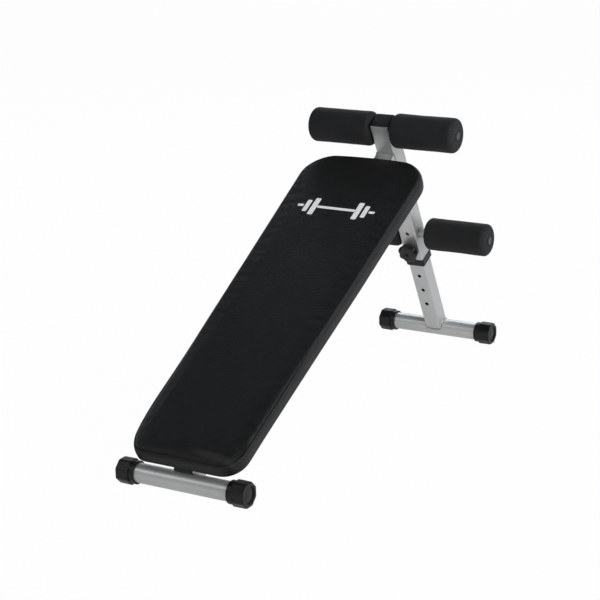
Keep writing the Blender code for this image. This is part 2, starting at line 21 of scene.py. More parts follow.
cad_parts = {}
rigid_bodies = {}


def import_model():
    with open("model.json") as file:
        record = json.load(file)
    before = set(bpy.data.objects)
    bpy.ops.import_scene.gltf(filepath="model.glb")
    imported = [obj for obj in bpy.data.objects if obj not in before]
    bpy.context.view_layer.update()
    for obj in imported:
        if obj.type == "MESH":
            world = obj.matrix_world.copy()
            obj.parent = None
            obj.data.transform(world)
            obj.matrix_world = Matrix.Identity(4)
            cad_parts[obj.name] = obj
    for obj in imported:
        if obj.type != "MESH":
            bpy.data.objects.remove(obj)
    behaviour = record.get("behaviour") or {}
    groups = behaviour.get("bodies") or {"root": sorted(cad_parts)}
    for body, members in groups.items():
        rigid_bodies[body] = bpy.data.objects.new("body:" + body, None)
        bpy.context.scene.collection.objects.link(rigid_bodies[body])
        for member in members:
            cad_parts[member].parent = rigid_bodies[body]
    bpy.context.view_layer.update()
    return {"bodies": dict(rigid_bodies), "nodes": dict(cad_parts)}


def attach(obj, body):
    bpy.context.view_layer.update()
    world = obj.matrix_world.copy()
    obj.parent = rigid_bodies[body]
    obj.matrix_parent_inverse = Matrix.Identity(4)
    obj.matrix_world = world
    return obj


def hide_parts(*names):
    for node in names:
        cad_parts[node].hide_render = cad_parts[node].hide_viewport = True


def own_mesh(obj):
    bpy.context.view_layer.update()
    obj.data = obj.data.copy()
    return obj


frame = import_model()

MM = 0.001

# ------------------------------------------------- the CAD's own dimensions, mm
# DIA is a diameter; S is a distance along the upright (up) or the board (up its
# slope); X is a distance from the middle plane.
HALF_SPAN = 624.0
FOOT_DIA, FOOT_WALL, FOOT_SHOWN = 45.0, 1.5, 241.0
FOOT_R = FOOT_DIA / 2
CAP_FLATS, CAP_LEN, CAP_COLLAR, CAP_COLLAR_R, CAP_SOCKET = 56.5, 45.5, 12.0, 26.7, 38.0
FOOT_Z = CAP_FLATS / 2
LEAN, SLOPE = 26.24, 27.96  # degrees about X
UP_WIDTH, UP_CORNER, WALL, UP_S0, UP_S1 = 50.0, 4.0, 1.5, 243.3, 697.0
LEG_WIDTH, LEG_DEPTH, LEG_CORNER, LEG_S0, LEG_S1 = 44.0, 42.0, 3.0, 18.0, 430.0
HOLE_FIRST, HOLE_PITCH, HOLE_COUNT, HOLE_DIA = 98.9, 50.0, 7, 10.4
PIN_S = HOLE_FIRST + 4 * HOLE_PITCH
SPARE_S = PIN_S + HOLE_PITCH
COLLAR_S0, COLLAR_S1, COLLAR_WIDTH, SLEEVE_S1 = 240.0, 261.0, 52.6, 279.0
TOP_BAR_S, LOW_BAR_S, BAR_DIA, BAR_WALL = 670.0, 337.0, 25.0, 1.5
BAR_R = BAR_DIA / 2
BAR_BORE_R = BAR_R - BAR_WALL
TOP_BAR_END, LOW_BAR_END = 201.0, 221.0
TOP_ROLLER_DIA, LOW_ROLLER_DIA = 88.0, 84.5
TOP_ROLLER_X, LOW_ROLLER_X, LOW_LEFT_SHIFT = (29.0, 202.0), (49.0, 222.0), -20.5
BOARD_Z0 = FOOT_Z + 80.27
PAD_T, PAD_S0, PAD_S1 = 38.0, -31.0, 999.5
PAD_HALF_LOW, PAD_FLARE, PAD_FLARE_POWER = 146.0, 24.0, 1.2
PAD_CORNER_LOW, PAD_CORNER_HIGH, PAD_CROWN_HIGH = 54.0, 79.0, 9.0
PLY_T, PLY_INSET = 11.7, 10.0
BACK_TOP = 41.1  # the backbone's top face below the board plane
BRACKET_S, BRACKET_LEN, BRACKET_WIDTH, BRACKET_T = (150.0, 800.0), 200.0, 40.0, 2.5
BOLT_X = 75.0
KNOB_R, KNOB_LOBES, KNOB_NEAR, KNOB_FAR, PIN_R = 27.25, 7, 6.0, 28.0, 4.8


def shift(x, y, z):
    return Matrix.Translation(Vector((x, y, z)) * MM)


# Upright: Z up along the tube, Y rearwards.  Board: Y up the slope, Z off its face.
UPRIGHT = shift(0, HALF_SPAN, FOOT_Z) @ Matrix.Rotation(math.radians(LEAN), 4, "X")
BOARD = shift(0, -HALF_SPAN, BOARD_Z0) @ Matrix.Rotation(math.radians(SLOPE), 4, "X")
FRONT = shift(0, -HALF_SPAN, FOOT_Z)
REAR = shift(0, HALF_SPAN, FOOT_Z)
# These turn a piece's Z along X, along -X and along -Y.
ALONG_X = Matrix.Rotation(math.radians(90), 4, "Y")
ALONG_MINUS_X = Matrix.Rotation(math.radians(-90), 4, "Y")
FORWARD = Matrix.Rotation(math.radians(90), 4, "X")


# =================================================================== materials
def is_output(value):
    return hasattr(value, "is_output")


def add_node(tree, kind, inputs=(), **settings):
    """A shader node; inputs maps sockets to plain values or to outputs to link."""
    node = tree.nodes.new("ShaderNode" + kind)
    for key, value in settings.items():
        setattr(node, key, value)
    for key, value in dict(inputs).items():
        if is_output(value):
            tree.links.new(value, node.inputs[key])
        else:
            node.inputs[key].default_value = value
    return node


def map_range(tree, value, span, to=(0.0, 1.0), smooth=False):
    settings = {"interpolation_type": "SMOOTHSTEP"} if smooth else {}
    inputs = {"Value": value, "From Min": span[0], "From Max": span[1],
              "To Min": to[0], "To Max": to[1]}
    return add_node(tree, "MapRange", inputs, **settings).outputs["Result"]


class Shader:
    """A material in the making: short calls that add a node and return its output."""

    def __init__(self, name):
        self.mat = bpy.data.materials.new(name)
        self.mat.use_nodes = True
        self.tree = self.mat.node_tree
        self.coord = self.add("TexCoord").outputs["Object"]

    def add(self, kind, inputs=(), **settings):
        return add_node(self.tree, kind, inputs, **settings)

    def noise(self, scale, detail, rough, distort=0.0, stretch=None):
        vector = self.coord
        if stretch:
            vector = self.add("Mapping", {"Scale": stretch, "Vector": vector}).outputs["Vector"]
        inputs = {"Scale": scale, "Detail": detail, "Roughness": rough,
                  "Distortion": distort, "Vector": vector}
        return self.add("TexNoise", inputs).outputs["Fac"]

    def voronoi(self, scale, feature="F1"):
        inputs = {"Scale": scale, "Randomness": 1.0, "Vector": self.coord}
        return self.add("TexVoronoi", inputs, feature=feature).outputs["Distance"]

    def remap(self, value, span, to=(0.0, 1.0), smooth=False):
        return map_range(self.tree, value, span, to, smooth)

    def math(self, operation, *values):
        padded = (*values, 0.0, 0.0)[:3]
        return self.add("Math", enumerate(padded), operation=operation).outputs[0]

    def vector_math(self, operation, first, second=None):
        inputs = {0: first} if second is None else {0: first, 1: second}
        return self.add("VectorMath", inputs, operation=operation).outputs

    def mix(self, share, low, high):
        """The colour low where share is 0, high where it is 1."""
        low, high = (c if is_output(c) else (*c, 1.0) for c in (low, high))
        return self.add("Mix", {0: share, 6: low, 7: high}, data_type="RGBA").outputs[2]

    def xyz(self):
        return self.add("SeparateXYZ", {0: self.coord}).outputs

    def bump(self, height, distance, strength, over=None):
        inputs = {"Strength": strength, "Distance": distance, "Height": height}
        if over:
            inputs["Normal"] = over
        return self.add("Bump", inputs).outputs["Normal"]

    def edge(self, radius):
        """1 on convex edges, where the bevelled normal leaves the face's, 0 on flats."""
        bevel = self.add("Bevel", {"Radius": radius}, samples=4).outputs["Normal"]
        true = self.add("NewGeometry").outputs["True Normal"]
        dot = self.vector_math("DOT_PRODUCT", bevel, true)["Value"]
        return self.remap(dot, span=(0.995, 0.85))

    def finish(self, **inputs):
        """Sets the Principled shader's inputs and returns the material."""
        bsdf = self.tree.nodes["Principled BSDF"]
        for key, value in inputs.items():
            socket = bsdf.inputs[key.replace("_", " ")]
            if is_output(value):
                self.tree.links.new(value, socket)
            else:
                socket.default_value = (*value, 1.0) if isinstance(value, tuple) else value
        return self.mat


def silver_paint():
    """Aluminium-effect powder paint: fine flake, orange peel, faint cloudiness."""
    mat = Shader("silver_powder_paint")
    cloud = mat.noise(scale=9.0, detail=3.0, rough=0.55)
    flake = mat.noise(scale=2600.0, detail=2.0, rough=0.7)
    tone = mat.mix(mat.remap(cloud, span=(0.3, 0.7)),
                   low=(0.60, 0.604, 0.60), high=(0.66, 0.664, 0.662))
    sparkle = mat.remap(flake, span=(0.5, 0.72), to=(0.0, 0.45))
    tone = mat.mix(sparkle, low=tone, high=(0.80, 0.81, 0.82))
    patches = mat.noise(scale=160.0, detail=4.0, rough=0.6)
    rough = mat.remap(patches, span=(0.3, 0.7), to=(0.33, 0.42))
    peel = mat.noise(scale=420.0, detail=2.0, rough=0.5)
    normal = mat.bump(peel, distance=0.00012, strength=0.35)
    normal = mat.bump(flake, distance=0.00003, strength=0.25, over=normal)
    return mat.finish(Base_Color=tone, Metallic=0.62, Roughness=rough, Normal=normal,
                      Coat_Weight=0.12, Coat_Roughness=0.25)


def weld_paint():
    """The same paint over a weld bead: spatter and soot make it duller."""
    mat = Shader("silver_paint_over_weld")
    cloud = mat.noise(scale=240.0, detail=4.0, rough=0.65)
    tone = mat.mix(mat.remap(cloud, span=(0.35, 0.7)),
                   low=(0.46, 0.46, 0.45), high=(0.56, 0.56, 0.55))
    spatter = mat.noise(scale=900.0, detail=3.0, rough=0.6)
    normal = mat.bump(spatter, distance=0.0002, strength=0.5)
    rough = mat.remap(cloud, span=(0.3, 0.7), to=(0.34, 0.5))
    return mat.finish(Base_Color=tone, Metallic=0.7, Roughness=rough, Normal=normal)


def moulded(name, dark, light, rough, grain=900.0, depth=0.00006, coat=0.0, dark_beyond=None):
    """Injection-moulded plastic: fine spark-eroded grain, convex edges painted lighter in
    patches, partly as scuffing and partly as a painted highlight.

    Beyond the radius dark_beyond from the piece's Z axis it is nearly black.
    """
    mat = Shader(name)
    patch = mat.noise(scale=60.0, detail=4.0, rough=0.6)
    tone = mat.mix(mat.remap(patch, span=(0.35, 0.7)), low=dark, high=light)
    # convex edges painted lighter in patches: scuffing, and a painted highlight along the edges
    edge = mat.edge(radius=0.0012)
    scuff_and_highlight_patches = mat.noise(scale=220.0, detail=4.0, rough=0.7)
    worn = mat.math("MULTIPLY", edge, mat.remap(scuff_and_highlight_patches, span=(0.45, 0.7), to=(0.1, 0.9)))
    scuffed_and_highlit = tuple(min(1.0, 2.6 * v + 0.02) for v in light)
    tone = mat.mix(mat.math("MULTIPLY", worn, 0.5), low=tone, high=scuffed_and_highlit)
    texture = mat.noise(scale=grain, detail=2.0, rough=0.6)
    normal = mat.bump(texture, distance=depth, strength=0.5)
    shine = mat.remap(patch, span=(0.3, 0.7), to=(rough - 0.04, rough + 0.07))
    if dark_beyond:
        flat_xy = mat.vector_math("MULTIPLY", mat.coord, (1.0, 1.0, 0.0))[0]
        radius = mat.vector_math("LENGTH", flat_xy)["Value"]
        fade = mat.remap(radius, span=(dark_beyond - 0.0006, dark_beyond + 0.0006))
        tone = mat.mix(fade, low=tone, high=(0.012, 0.012, 0.013))
    return mat.finish(Base_Color=tone, Roughness=shine, Normal=normal, Coat_Weight=coat,
                      Coat_Roughness=0.15, Specular_IOR_Level=0.33)


def foam():
    """Closed-cell black foam: skin pores, dull, faintly dusty."""
    mat = Shader("closed_cell_foam")
    dust = mat.noise(scale=26.0, detail=4.0, rough=0.6)
    tone = mat.mix(mat.remap(dust, span=(0.3, 0.75)),
                   low=(0.0150, 0.0160, 0.0168), high=(0.0245, 0.0252, 0.0262))
    cells = mat.voronoi(scale=900.0)
    pores = mat.remap(mat.voronoi(scale=420.0), span=(0.05, 0.32))
    normal = mat.bump(cells, distance=0.00016, strength=0.5)
    normal = mat.bump(pores, distance=0.00022, strength=0.35, over=normal)
    swell = mat.noise(scale=60.0, detail=3.0, rough=0.5)
    normal = mat.bump(swell, distance=0.0007, strength=0.5, over=normal)
    rough = mat.remap(dust, span=(0.3, 0.7), to=(0.74, 0.86))
    return mat.finish(Base_Color=tone, Roughness=rough, Normal=normal, Sheen_Weight=0.05,
                      Sheen_Roughness=0.5, Sheen_Tint=(0.5, 0.5, 0.52),
                      Specular_IOR_Level=0.30)


# A plain pictogram of a loaded bar, printed across the board's upper third.
# Columns, metres: x, y, half length, half height, corner radius.
MARK_Y, MARK_X = 0.792, -0.003
MARK = [(MARK_X, MARK_Y, 0.052, 0.0042, 0.003)] + [
    (MARK_X + side * offset, MARK_Y, *size)
    for offset, *size in (
        (0.060, 0.0072, 0.030, 0.0035),
        (0.080, 0.0062, 0.021, 0.0035),
        (0.098, 0.0080, 0.0042, 0.003),
    )
    for side in (-1, 1)
]
MARK_BLUR = 0.0006


def mark_mask(mat):
    """1 inside any of the mark's rounded bars."""
    x, y, _ = mat.xyz()

    def past(value, centre, half):
        away = mat.math("ABSOLUTE", mat.math("SUBTRACT", value, centre))
        return mat.math("MAXIMUM", mat.math("SUBTRACT", away, half), 0.0)

    total = None
    for centre_x, centre_y, half_x, half_y, corner in MARK:
        past_x = past(x, centre_x, half_x - corner)
        past_y = past(y, centre_y, half_y - corner)
        squares = [mat.math("MULTIPLY", q, q) for q in (past_x, past_y)]
        far = mat.math("SQRT", mat.math("ADD", *squares))
        inside = mat.remap(far, span=(corner - MARK_BLUR, corner + MARK_BLUR), to=(1.0, 0.0))
        total = mat.math("MAXIMUM", total, inside) if total else inside
    return total


def leatherette():
    """Coated fabric: pebble grain in two sizes, faint creasing, a painted highlight near the low
    end and the white mark, which glows faintly as painted light.
    """
    mat = Shader("black_leatherette")
    patch = mat.noise(scale=11.0, detail=4.0, rough=0.6)
    tone = mat.mix(mat.remap(patch, span=(0.3, 0.75)),
                   low=(0.0050, 0.0054, 0.0055), high=(0.0085, 0.0090, 0.0090))
    pebble = mat.voronoi(scale=400.0, feature="SMOOTH_F1")
    crack = mat.voronoi(scale=400.0, feature="DISTANCE_TO_EDGE")
    fine = mat.noise(scale=1900.0, detail=2.0, rough=0.6)
    # seven parts cracks to three of fine grain
    grain = mat.math("ADD", mat.math("MULTIPLY", mat.remap(crack, span=(0.0, 0.12)), 0.7),
                     mat.math("MULTIPLY", fine, 0.3))
    creases = mat.noise(scale=34.0, detail=3.0, rough=0.55)
    normal = mat.bump(creases, distance=0.0006, strength=0.3)
    normal = mat.bump(grain, distance=0.00025, strength=0.7, over=normal)
    normal = mat.bump(pebble, distance=0.00085, strength=0.85, over=normal)
    lumps = mat.noise(scale=230.0, detail=3.0, rough=0.65)
    normal = mat.bump(lumps, distance=0.0011, strength=0.75, over=normal)
    rough = mat.math("ADD", mat.remap(patch, span=(0.3, 0.7), to=(0.36, 0.46)),
                     mat.remap(crack, span=(0.0, 0.1), to=(0.10, 0.0)))

    # a painted highlight, elongated and slightly tilted, near the low end's right side, where the
    # rolled edge catches the light
    highlight_x, highlight_y, half_length, half_height, tilt = 0.082, 0.001, 0.045, 0.007, 0.10
    x, y, _ = mat.xyz()
    across = mat.math("MULTIPLY", mat.math("SUBTRACT", x, highlight_x), 1 / half_length)
    tilted = mat.math("MULTIPLY_ADD", x, tilt, y)
    along = mat.math("MULTIPLY", mat.math("SUBTRACT", tilted, highlight_y), 1 / half_height)
    spread = mat.math("ADD", mat.math("MULTIPLY", across, across),
                      mat.math("MULTIPLY", along, along))
    painted_highlight = mat.math("MULTIPLY", mat.remap(spread, span=(0.0, 3.0), to=(1.0, 0.0), smooth=True),
                     mat.remap(pebble, span=(0.1, 0.5), to=(1.0, 0.6)))
    tone = mat.mix(mat.math("MULTIPLY", painted_highlight, 0.8), low=tone, high=(0.045, 0.045, 0.044))

    # the mark, a little worn, on the top face only
    mark = mark_mask(mat)
    worn = mat.remap(mat.noise(scale=700.0, detail=3.0, rough=0.7), span=(0.30, 0.36))
    mark = mat.math("MULTIPLY", mark, mat.remap(worn, span=(0.0, 1.0), to=(0.55, 1.0)))
    z = mat.xyz()[2]
    mark = mat.math("MULTIPLY", mark, mat.remap(z, span=(-0.006, -0.004)))
    tone = mat.mix(mark, low=tone, high=(0.93, 0.93, 0.93))
    # painted light: the mark glows faintly, so that it reads brighter than its white alone
    glow = mat.math("MULTIPLY", mark, 0.22)
    return mat.finish(Emission_Color=(1.0, 1.0, 1.0), Emission_Strength=glow, Base_Color=tone,
                      Roughness=rough, Normal=normal, Specular_IOR_Level=0.33,
                      Sheen_Weight=0.02, Sheen_Roughness=0.4)


def plywood():
    """Rotary-cut face veneer: long grain lines and broader figure."""
    mat = Shader("plywood_face")
    grain = mat.noise(scale=1.0, detail=6.0, rough=0.6, distort=0.8, stretch=(150.0, 9.0, 60.0))
    figure = mat.noise(scale=1.0, detail=3.0, rough=0.5, distort=2.0, stretch=(30.0, 3.0, 10.0))
    tone = mat.mix(mat.remap(grain, span=(0.3, 0.72)),
                   low=(0.30, 0.185, 0.09), high=(0.56, 0.39, 0.22))
    tone = mat.mix(mat.remap(figure, span=(0.45, 0.7), to=(0.0, 0.45)),
                   low=tone, high=(0.42, 0.27, 0.13))
    normal = mat.bump(grain, distance=0.0003, strength=0.4)
    return mat.finish(Base_Color=tone, Roughness=0.78, Normal=normal)


def plated(name, colour, rough):
    """Bare or plated steel with fine drawing lines and dull spots."""
    mat = Shader(name)
    lines = mat.noise(scale=1.0, detail=3.0, rough=0.6, stretch=(2500.0, 60.0, 2500.0))
    spots = mat.noise(scale=300.0, detail=4.0, rough=0.7)
    tone = mat.mix(mat.remap(spots, span=(0.4, 0.75), to=(0.0, 0.6)),
                   low=colour, high=tuple(0.62 * v for v in colour))
    normal = mat.bump(lines, distance=0.00003, strength=0.4)
    shine = mat.remap(spots, span=(0.3, 0.7), to=(rough - 0.06, rough + 0.1))
    return mat.finish(Base_Color=tone, Metallic=1.0, Roughness=shine, Normal=normal)


SILVER = silver_paint()
WELD = weld_paint()
PLASTIC = moulded("black_moulded_plastic", dark=(0.0060, 0.0062, 0.0068),
                  light=(0.0120, 0.0124, 0.0130), rough=0.34)
KNOB_MAT = moulded("knob_plastic", dark=(0.0085, 0.0095, 0.0100),
                   light=(0.0160, 0.0175, 0.0180), rough=0.34,
                   grain=1400.0, depth=0.00004, coat=0.1)
PLUG_MAT = moulded("grey_plug_plastic", dark=(0.060, 0.060, 0.062),
                   light=(0.090, 0.090, 0.092), rough=0.45, dark_beyond=0.0092)
FOAM = foam()
VINYL = leatherette()
PLYWOOD = plywood()
INSIDE = plated("tube_inside_raw_steel", colour=(0.030, 0.029, 0.028), rough=0.6)
ZINC = plated("zinc_plate", colour=(0.60, 0.60, 0.57), rough=0.30)
# near-black plated steel for the lock pin, whose end sits down the knob's hole
DARK_STEEL = plated("near_black_steel", colour=(0.055, 0.055, 0.058), rough=0.42)
SPRING = plated("spring_steel", colour=(0.38, 0.38, 0.40), rough=0.32)


# ==================================================================== geometry
def fillet(points, steps):
    """An open path of (a, b, radius) with its corners turned on arcs, as (a, b)."""
    out = []
    last = len(points) - 1
    for i, (a, b, radius) in enumerate(points):
        corner = np.array([a, b], float)
        if radius <= 0 or i in (0, last):
            out.append(corner)
            continue
        back = np.array(points[i - 1][:2], float) - corner
        ahead = np.array(points[i + 1][:2], float) - corner
        back_len, ahead_len = np.linalg.norm(back), np.linalg.norm(ahead)
        back, ahead = back / back_len, ahead / ahead_len
        angle = math.acos(max(-1.0, min(1.0, float(back @ ahead))))
        if angle > math.pi - 1e-3:
            out.append(corner)
            continue
        trim = min(radius / math.tan(angle / 2), 0.49 * back_len, 0.49 * ahead_len)
        fitted = trim * math.tan(angle / 2)
        middle = (back + ahead) / np.linalg.norm(back + ahead)
        centre = corner + middle * fitted / math.sin(angle / 2)
        first, final = corner + back * trim - centre, corner + ahead * trim - centre
        start = math.atan2(first[1], first[0])
        turn = (math.atan2(final[1], final[0]) - start + math.pi) % (2 * math.pi) - math.pi
        for k in range(steps + 1):
            at = start + turn * k / steps
            out.append(centre + fitted * np.array([math.cos(at), math.sin(at)]))
    return out


def angles(count):
    return 2 * math.pi * np.arange(count) / count


def polar(radius, around):
    return np.stack([radius * np.cos(around), radius * np.sin(around)], 1)


def circle(radius, sides):
    return polar(radius, angles(sides))


def rounded(width, depth, corner, steps=10):
    """Rounded rectangle outline, counter-clockwise."""
    out = []
    for sx, sy, start in ((1, 1, 0), (-1, 1, 90), (-1, -1, 180), (1, -1, 270)):
        for k in range(steps + 1):
            a = math.radians(start + 90 * k / steps)
            out.append((sx * (width / 2 - corner) + corner * math.cos(a),
                        sy * (depth / 2 - corner) + corner * math.sin(a)))
    return np.array(out)


def drawn_in(width, depth, corner, inset, least=0.8, steps=10):
    """A rounded rectangle drawn in by inset; its corners keep a least radius."""
    return rounded(width - 2 * inset, depth - 2 * inset, max(corner - inset, least), steps)


def flat(outline, z):
    return np.column_stack([outline, np.full(len(outline), z)])


def rings(profile, sides):
    """Circles about Z from (radius, z)."""
    return [flat(circle(radius, sides), z) for radius, z in profile]


def bands(rows, sides, ring=False):
    """Quads between successive closed loops; ring joins the last loop to the first."""
    faces = []
    for a in range(rows if ring else rows - 1):
        b = (a + 1) % rows
        for i in range(sides):
            j = (i + 1) % sides
            faces.append((a * sides + i, a * sides + j, b * sides + j, b * sides + i))
    return faces


def tidy(mesh, merge=True):
    bm = bmesh.new()
    bm.from_mesh(mesh)
    if merge:
        bmesh.ops.remove_doubles(bm, verts=bm.verts, dist=1e-7)
    bmesh.ops.recalc_face_normals(bm, faces=bm.faces)
    bm.to_mesh(mesh)
    bm.free()


def raw_object(name, verts, faces, mat, where):
    """An unshaded object from vertices in mm."""
    mesh = bpy.data.meshes.new(name)
    mesh.from_pydata([tuple(v) for v in np.asarray(verts) * MM], [], faces)
    tidy(mesh)
    mesh.materials.append(mat)
    obj = bpy.data.objects.new(name, mesh)
    bpy.context.scene.collection.objects.link(obj)
    obj.matrix_world = where
    return obj


def loft(name, loops, mat, where, ring=False):
    """A closed mesh through equal loops: capped, or joined end to end as a ring."""
    sides = len(loops[0])
    faces = []
    if not ring:
        faces.append(tuple(reversed(range(sides))))
        faces.append(tuple(range((len(loops) - 1) * sides, len(loops) * sides)))
    faces += bands(len(loops), sides, ring)
    return raw_object(name, np.concatenate(loops), faces, mat, where)


def shade(obj, sharp=32.0, weighted=True):
    obj.data.shade_smooth()
    obj.data.set_sharp_from_angle(angle=math.radians(sharp))
    if weighted:
        mod = obj.modifiers.new("weighted", "WEIGHTED_NORMAL")
        mod.keep_sharp = True
        mod.weight = 60


def finish_piece(obj, body, replaces=None, sharp=32.0, weighted=True):
    """Shades obj, lets it ride on body and hides the CAD node it stands in for."""
    shade(obj, sharp, weighted)
    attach(obj, body)
    if replaces:
        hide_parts(replaces)


def solid(name, loops, mat, where, body="frame", replaces=None, ring=False, sharp=32.0,
          weighted=True):
    obj = loft(name, loops, mat, where, ring)
    finish_piece(obj, body, replaces, sharp, weighted)
    return obj


def turned(name, profile, mat, where, body="frame", replaces=None, sides=64, ring=False):
    """A solid of revolution about local Z from (radius, z)."""
    return solid(name, rings(profile, sides), mat, where, body, replaces, ring)


def cutter(profile, where, sides=48):
    """A solid of revolution to be cut away by drill."""
    obj = loft("cutter", rings(profile, sides), SILVER, where)
    shade(obj, weighted=False)
    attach(obj, next(iter(frame["bodies"])))
    obj.parent = None
    obj.matrix_world = where
    return obj


def drill(obj, cutters):
    """Cuts holes and keeps the result as the mesh."""
    obj.modifiers.clear()
    for tool in cutters:
        mod = obj.modifiers.new("hole", "BOOLEAN")
        mod.operation = "DIFFERENCE"
        mod.solver = "EXACT"
        mod.object = tool
    bpy.context.view_layer.update()
    graph = bpy.context.evaluated_depsgraph_get()
    made = bpy.data.meshes.new_from_object(obj.evaluated_get(graph), depsgraph=graph)
    obj.modifiers.clear()
    old = obj.data
    obj.data = made
    made.name = obj.name
    bpy.data.meshes.remove(old)
    for tool in cutters:
        bpy.data.objects.remove(tool, do_unlink=True)
    shade(obj)


def darken_inside(obj, width, depth):
    """Unpainted walls inside a square tube and round its holes."""
    obj.data.materials.append(INSIDE)
    index = len(obj.data.materials) - 1
    for poly in obj.data.polygons:
        x, y, _ = poly.center / MM
        wall = abs(x) < width / 2 - WALL + 0.05 and abs(y) < depth / 2 - WALL + 0.05
        lip = abs(x) < 6.5 and -depth / 2 + 0.55 < y < 0
        if wall or lip:
            poly.material_index = index


def front_hole(face, s):
    """Cutter into the wall face mm in front of the axis, with a small countersink."""
    radius = HOLE_DIA / 2
    profile = [(radius, -12.0), (radius, -0.5), (radius + 0.7, 0.25), (radius + 0.9, 3.0)]
    return cutter(profile, UPRIGHT @ shift(0, -face, s) @ FORWARD)


def ruler(path):
    """Distances along an open path, and a function from distance to position on it."""
    run = np.concatenate([[0], np.cumsum(np.linalg.norm(np.diff(path, axis=0), axis=1))])

    def position(distance):
        return np.stack([np.interp(distance, run, column) for column in path.T], -1)

    return run, position


def closed_up(loop):
    return np.vstack([loop, loop[:1]])


def softened(loop):
    """Each point of a closed loop averaged with its neighbours."""
    return (np.roll(loop, 1, 0) + 2 * loop + np.roll(loop, -1, 0)) / 4


def bead(name, path, radius, where, body="frame", closed=True, pitch=3.4,
         side=(0.0, 0.0, 1.0), seed=0.0):
    """A weld bead: a rope of overlapping puddles swept along path."""
    path = np.asarray(path, float)
    run, position = ruler(closed_up(path) if closed else path)
    length = run[-1]
    count = max(12, int(length / 0.7))
    at = np.linspace(0, length, count, endpoint=not closed)
    spine = position(at)
    # light smoothing, so that the rope turns corners softly
    for _ in range(2):
        if closed:
            spine = softened(spine)
        else:
            spine[1:-1] = (spine[:-2] + 2 * spine[1:-1] + spine[2:]) / 4
    if closed:
        tangent = np.roll(spine, -1, 0) - np.roll(spine, 1, 0)
    else:
        tangent = np.gradient(spine, axis=0)
    tangent /= np.linalg.norm(tangent, axis=1)[:, None]
    across = np.cross(tangent, np.array(side))
    weak = np.linalg.norm(across, axis=1) < 0.2
    across[weak] = np.cross(tangent[weak], np.array([0.31, 0.87, 0.41]))
    across /= np.linalg.norm(across, axis=1)[:, None]
    upward = np.cross(tangent, across)
    # each puddle swells and fades once per pitch; the whole rope wanders in size
    if closed:
        share = at / length
        phase = share * max(1, round(length / pitch))
        wander = (1.0 + 0.06 * np.sin(2 * math.pi * 3 * share + seed)
                  + 0.05 * np.sin(2 * math.pi * 7 * share + 2 * seed))
    else:
        phase = at / pitch
        wander = (1.0 + 0.07 * np.sin(phase * 0.83 + seed)
                  + 0.05 * np.sin(phase * 2.17 + 1.3 * seed))
    puddle = 0.86 + 0.20 * np.abs(np.sin(math.pi * phase)) ** 0.55
    size = radius * puddle * wander
    if not closed:
        taper = np.minimum(1.0, np.minimum(at, length - at) / (1.6 * radius) + 0.25)
        size = size * np.sqrt(taper)
    sides = 10
    around = angles(sides)[None, :, None]
    offset = np.cos(around) * across[:, None] + np.sin(around) * upward[:, None]
    verts = (spine[:, None] + size[:, None, None] * offset).reshape(-1, 3)
    faces = bands(count, sides, closed)
    if not closed:
        faces.append(tuple(range(sides)))
        faces.append(tuple(reversed(range((count - 1) * sides, count * sides))))
    obj = raw_object(name, verts, faces, WELD, where)
    finish_piece(obj, body, sharp=80.0, weighted=False)


# ======================================================================== feet
def octagon(flats, sides):
    """Eight flats, one straight down, with softly rounded corners."""
    around = angles(sides)
    off = (around + math.pi / 8) % (math.pi / 4) - math.pi / 8
    half = flats / 2
    flat_r = half / np.cos(off)
    corner_r = half * 1.0599
    sharpness = 360.0 / flats
    # a smooth minimum of the two radii
    both = np.exp(-sharpness * (flat_r - half)) + np.exp(-sharpness * (corner_r - half))
    return polar(half - np.log(both) / sharpness, around)


def foot_cap(name, where, body):
    """A round collar, an octagonal drum and a dished outer end; Z points outwards."""
    sides = 192
    bore = FOOT_R + 0.15

    def drum(path):
        return [flat(octagon(CAP_FLATS - 2 * inset, sides), z) for inset, z in path]

    collar = [(bore, 0.6, 0), (FOOT_R + 0.9, 0.0, 0.4), (CAP_COLLAR_R - 1.6, 0.0, 0),
              (CAP_COLLAR_R, 0.0, 1.3), (CAP_COLLAR_R, 6.0, 0)]
    step = [(CAP_COLLAR_R, CAP_COLLAR - 0.8), (CAP_COLLAR_R - 0.5, CAP_COLLAR - 0.2)]
    loops = rings([(bore, CAP_SOCKET)] + fillet(collar, 4) + step, sides)
    loops += drum(fillet([(1.3, CAP_COLLAR, 0), (0.0, CAP_COLLAR + 0.2, 1.0),
                          (0.0, CAP_COLLAR + 6, 0)], 4))
    loops += drum(fillet([(0.0, CAP_COLLAR + 7, 0), (0.25, CAP_LEN - 5.0, 0),
                          (0.9, CAP_LEN, 2.6), (5.4, CAP_LEN, 0)], 6)[1:])
    # raised rim, then a recess with a slightly domed floor
    rim = CAP_FLATS / 2 - 7.6
    floor_r, floor_z = rim - 2.4, CAP_LEN - 3.4
    recess = fillet([(rim + 0.6, CAP_LEN, 0), (rim, CAP_LEN, 0.5),
                     (rim - 0.8, floor_z, 0.5), (floor_r, floor_z, 0)], 4)
    for k in range(1, 9):
        radius = floor_r * (1 - k / 9.0)
        recess.append((radius, floor_z + 1.6 * (1 - (radius / floor_r) ** 2)))
    loops += rings(recess, sides)
    solid(name + "_moulding", loops, PLASTIC, where, body, name, sharp=26.0)
    # the moulding gate on the collar, low on its -Y side
    facing = (where.to_3x3().inverted() @ Vector((0, -1, -0.42))).normalized()
    spot = (where @ Matrix.Translation((facing * (CAP_COLLAR_R - 0.6) + Vector((0, 0, 5.0))) * MM)
            @ facing.to_track_quat("Z", "Y").to_matrix().to_4x4())
    gate = [(1.7, 0.0), (1.7, 0.7), (1.5, 1.1), (1.0, 1.4), (0.4, 1.5)]
    turned(name + "_gate", gate, PLASTIC, spot, body, sides=20)


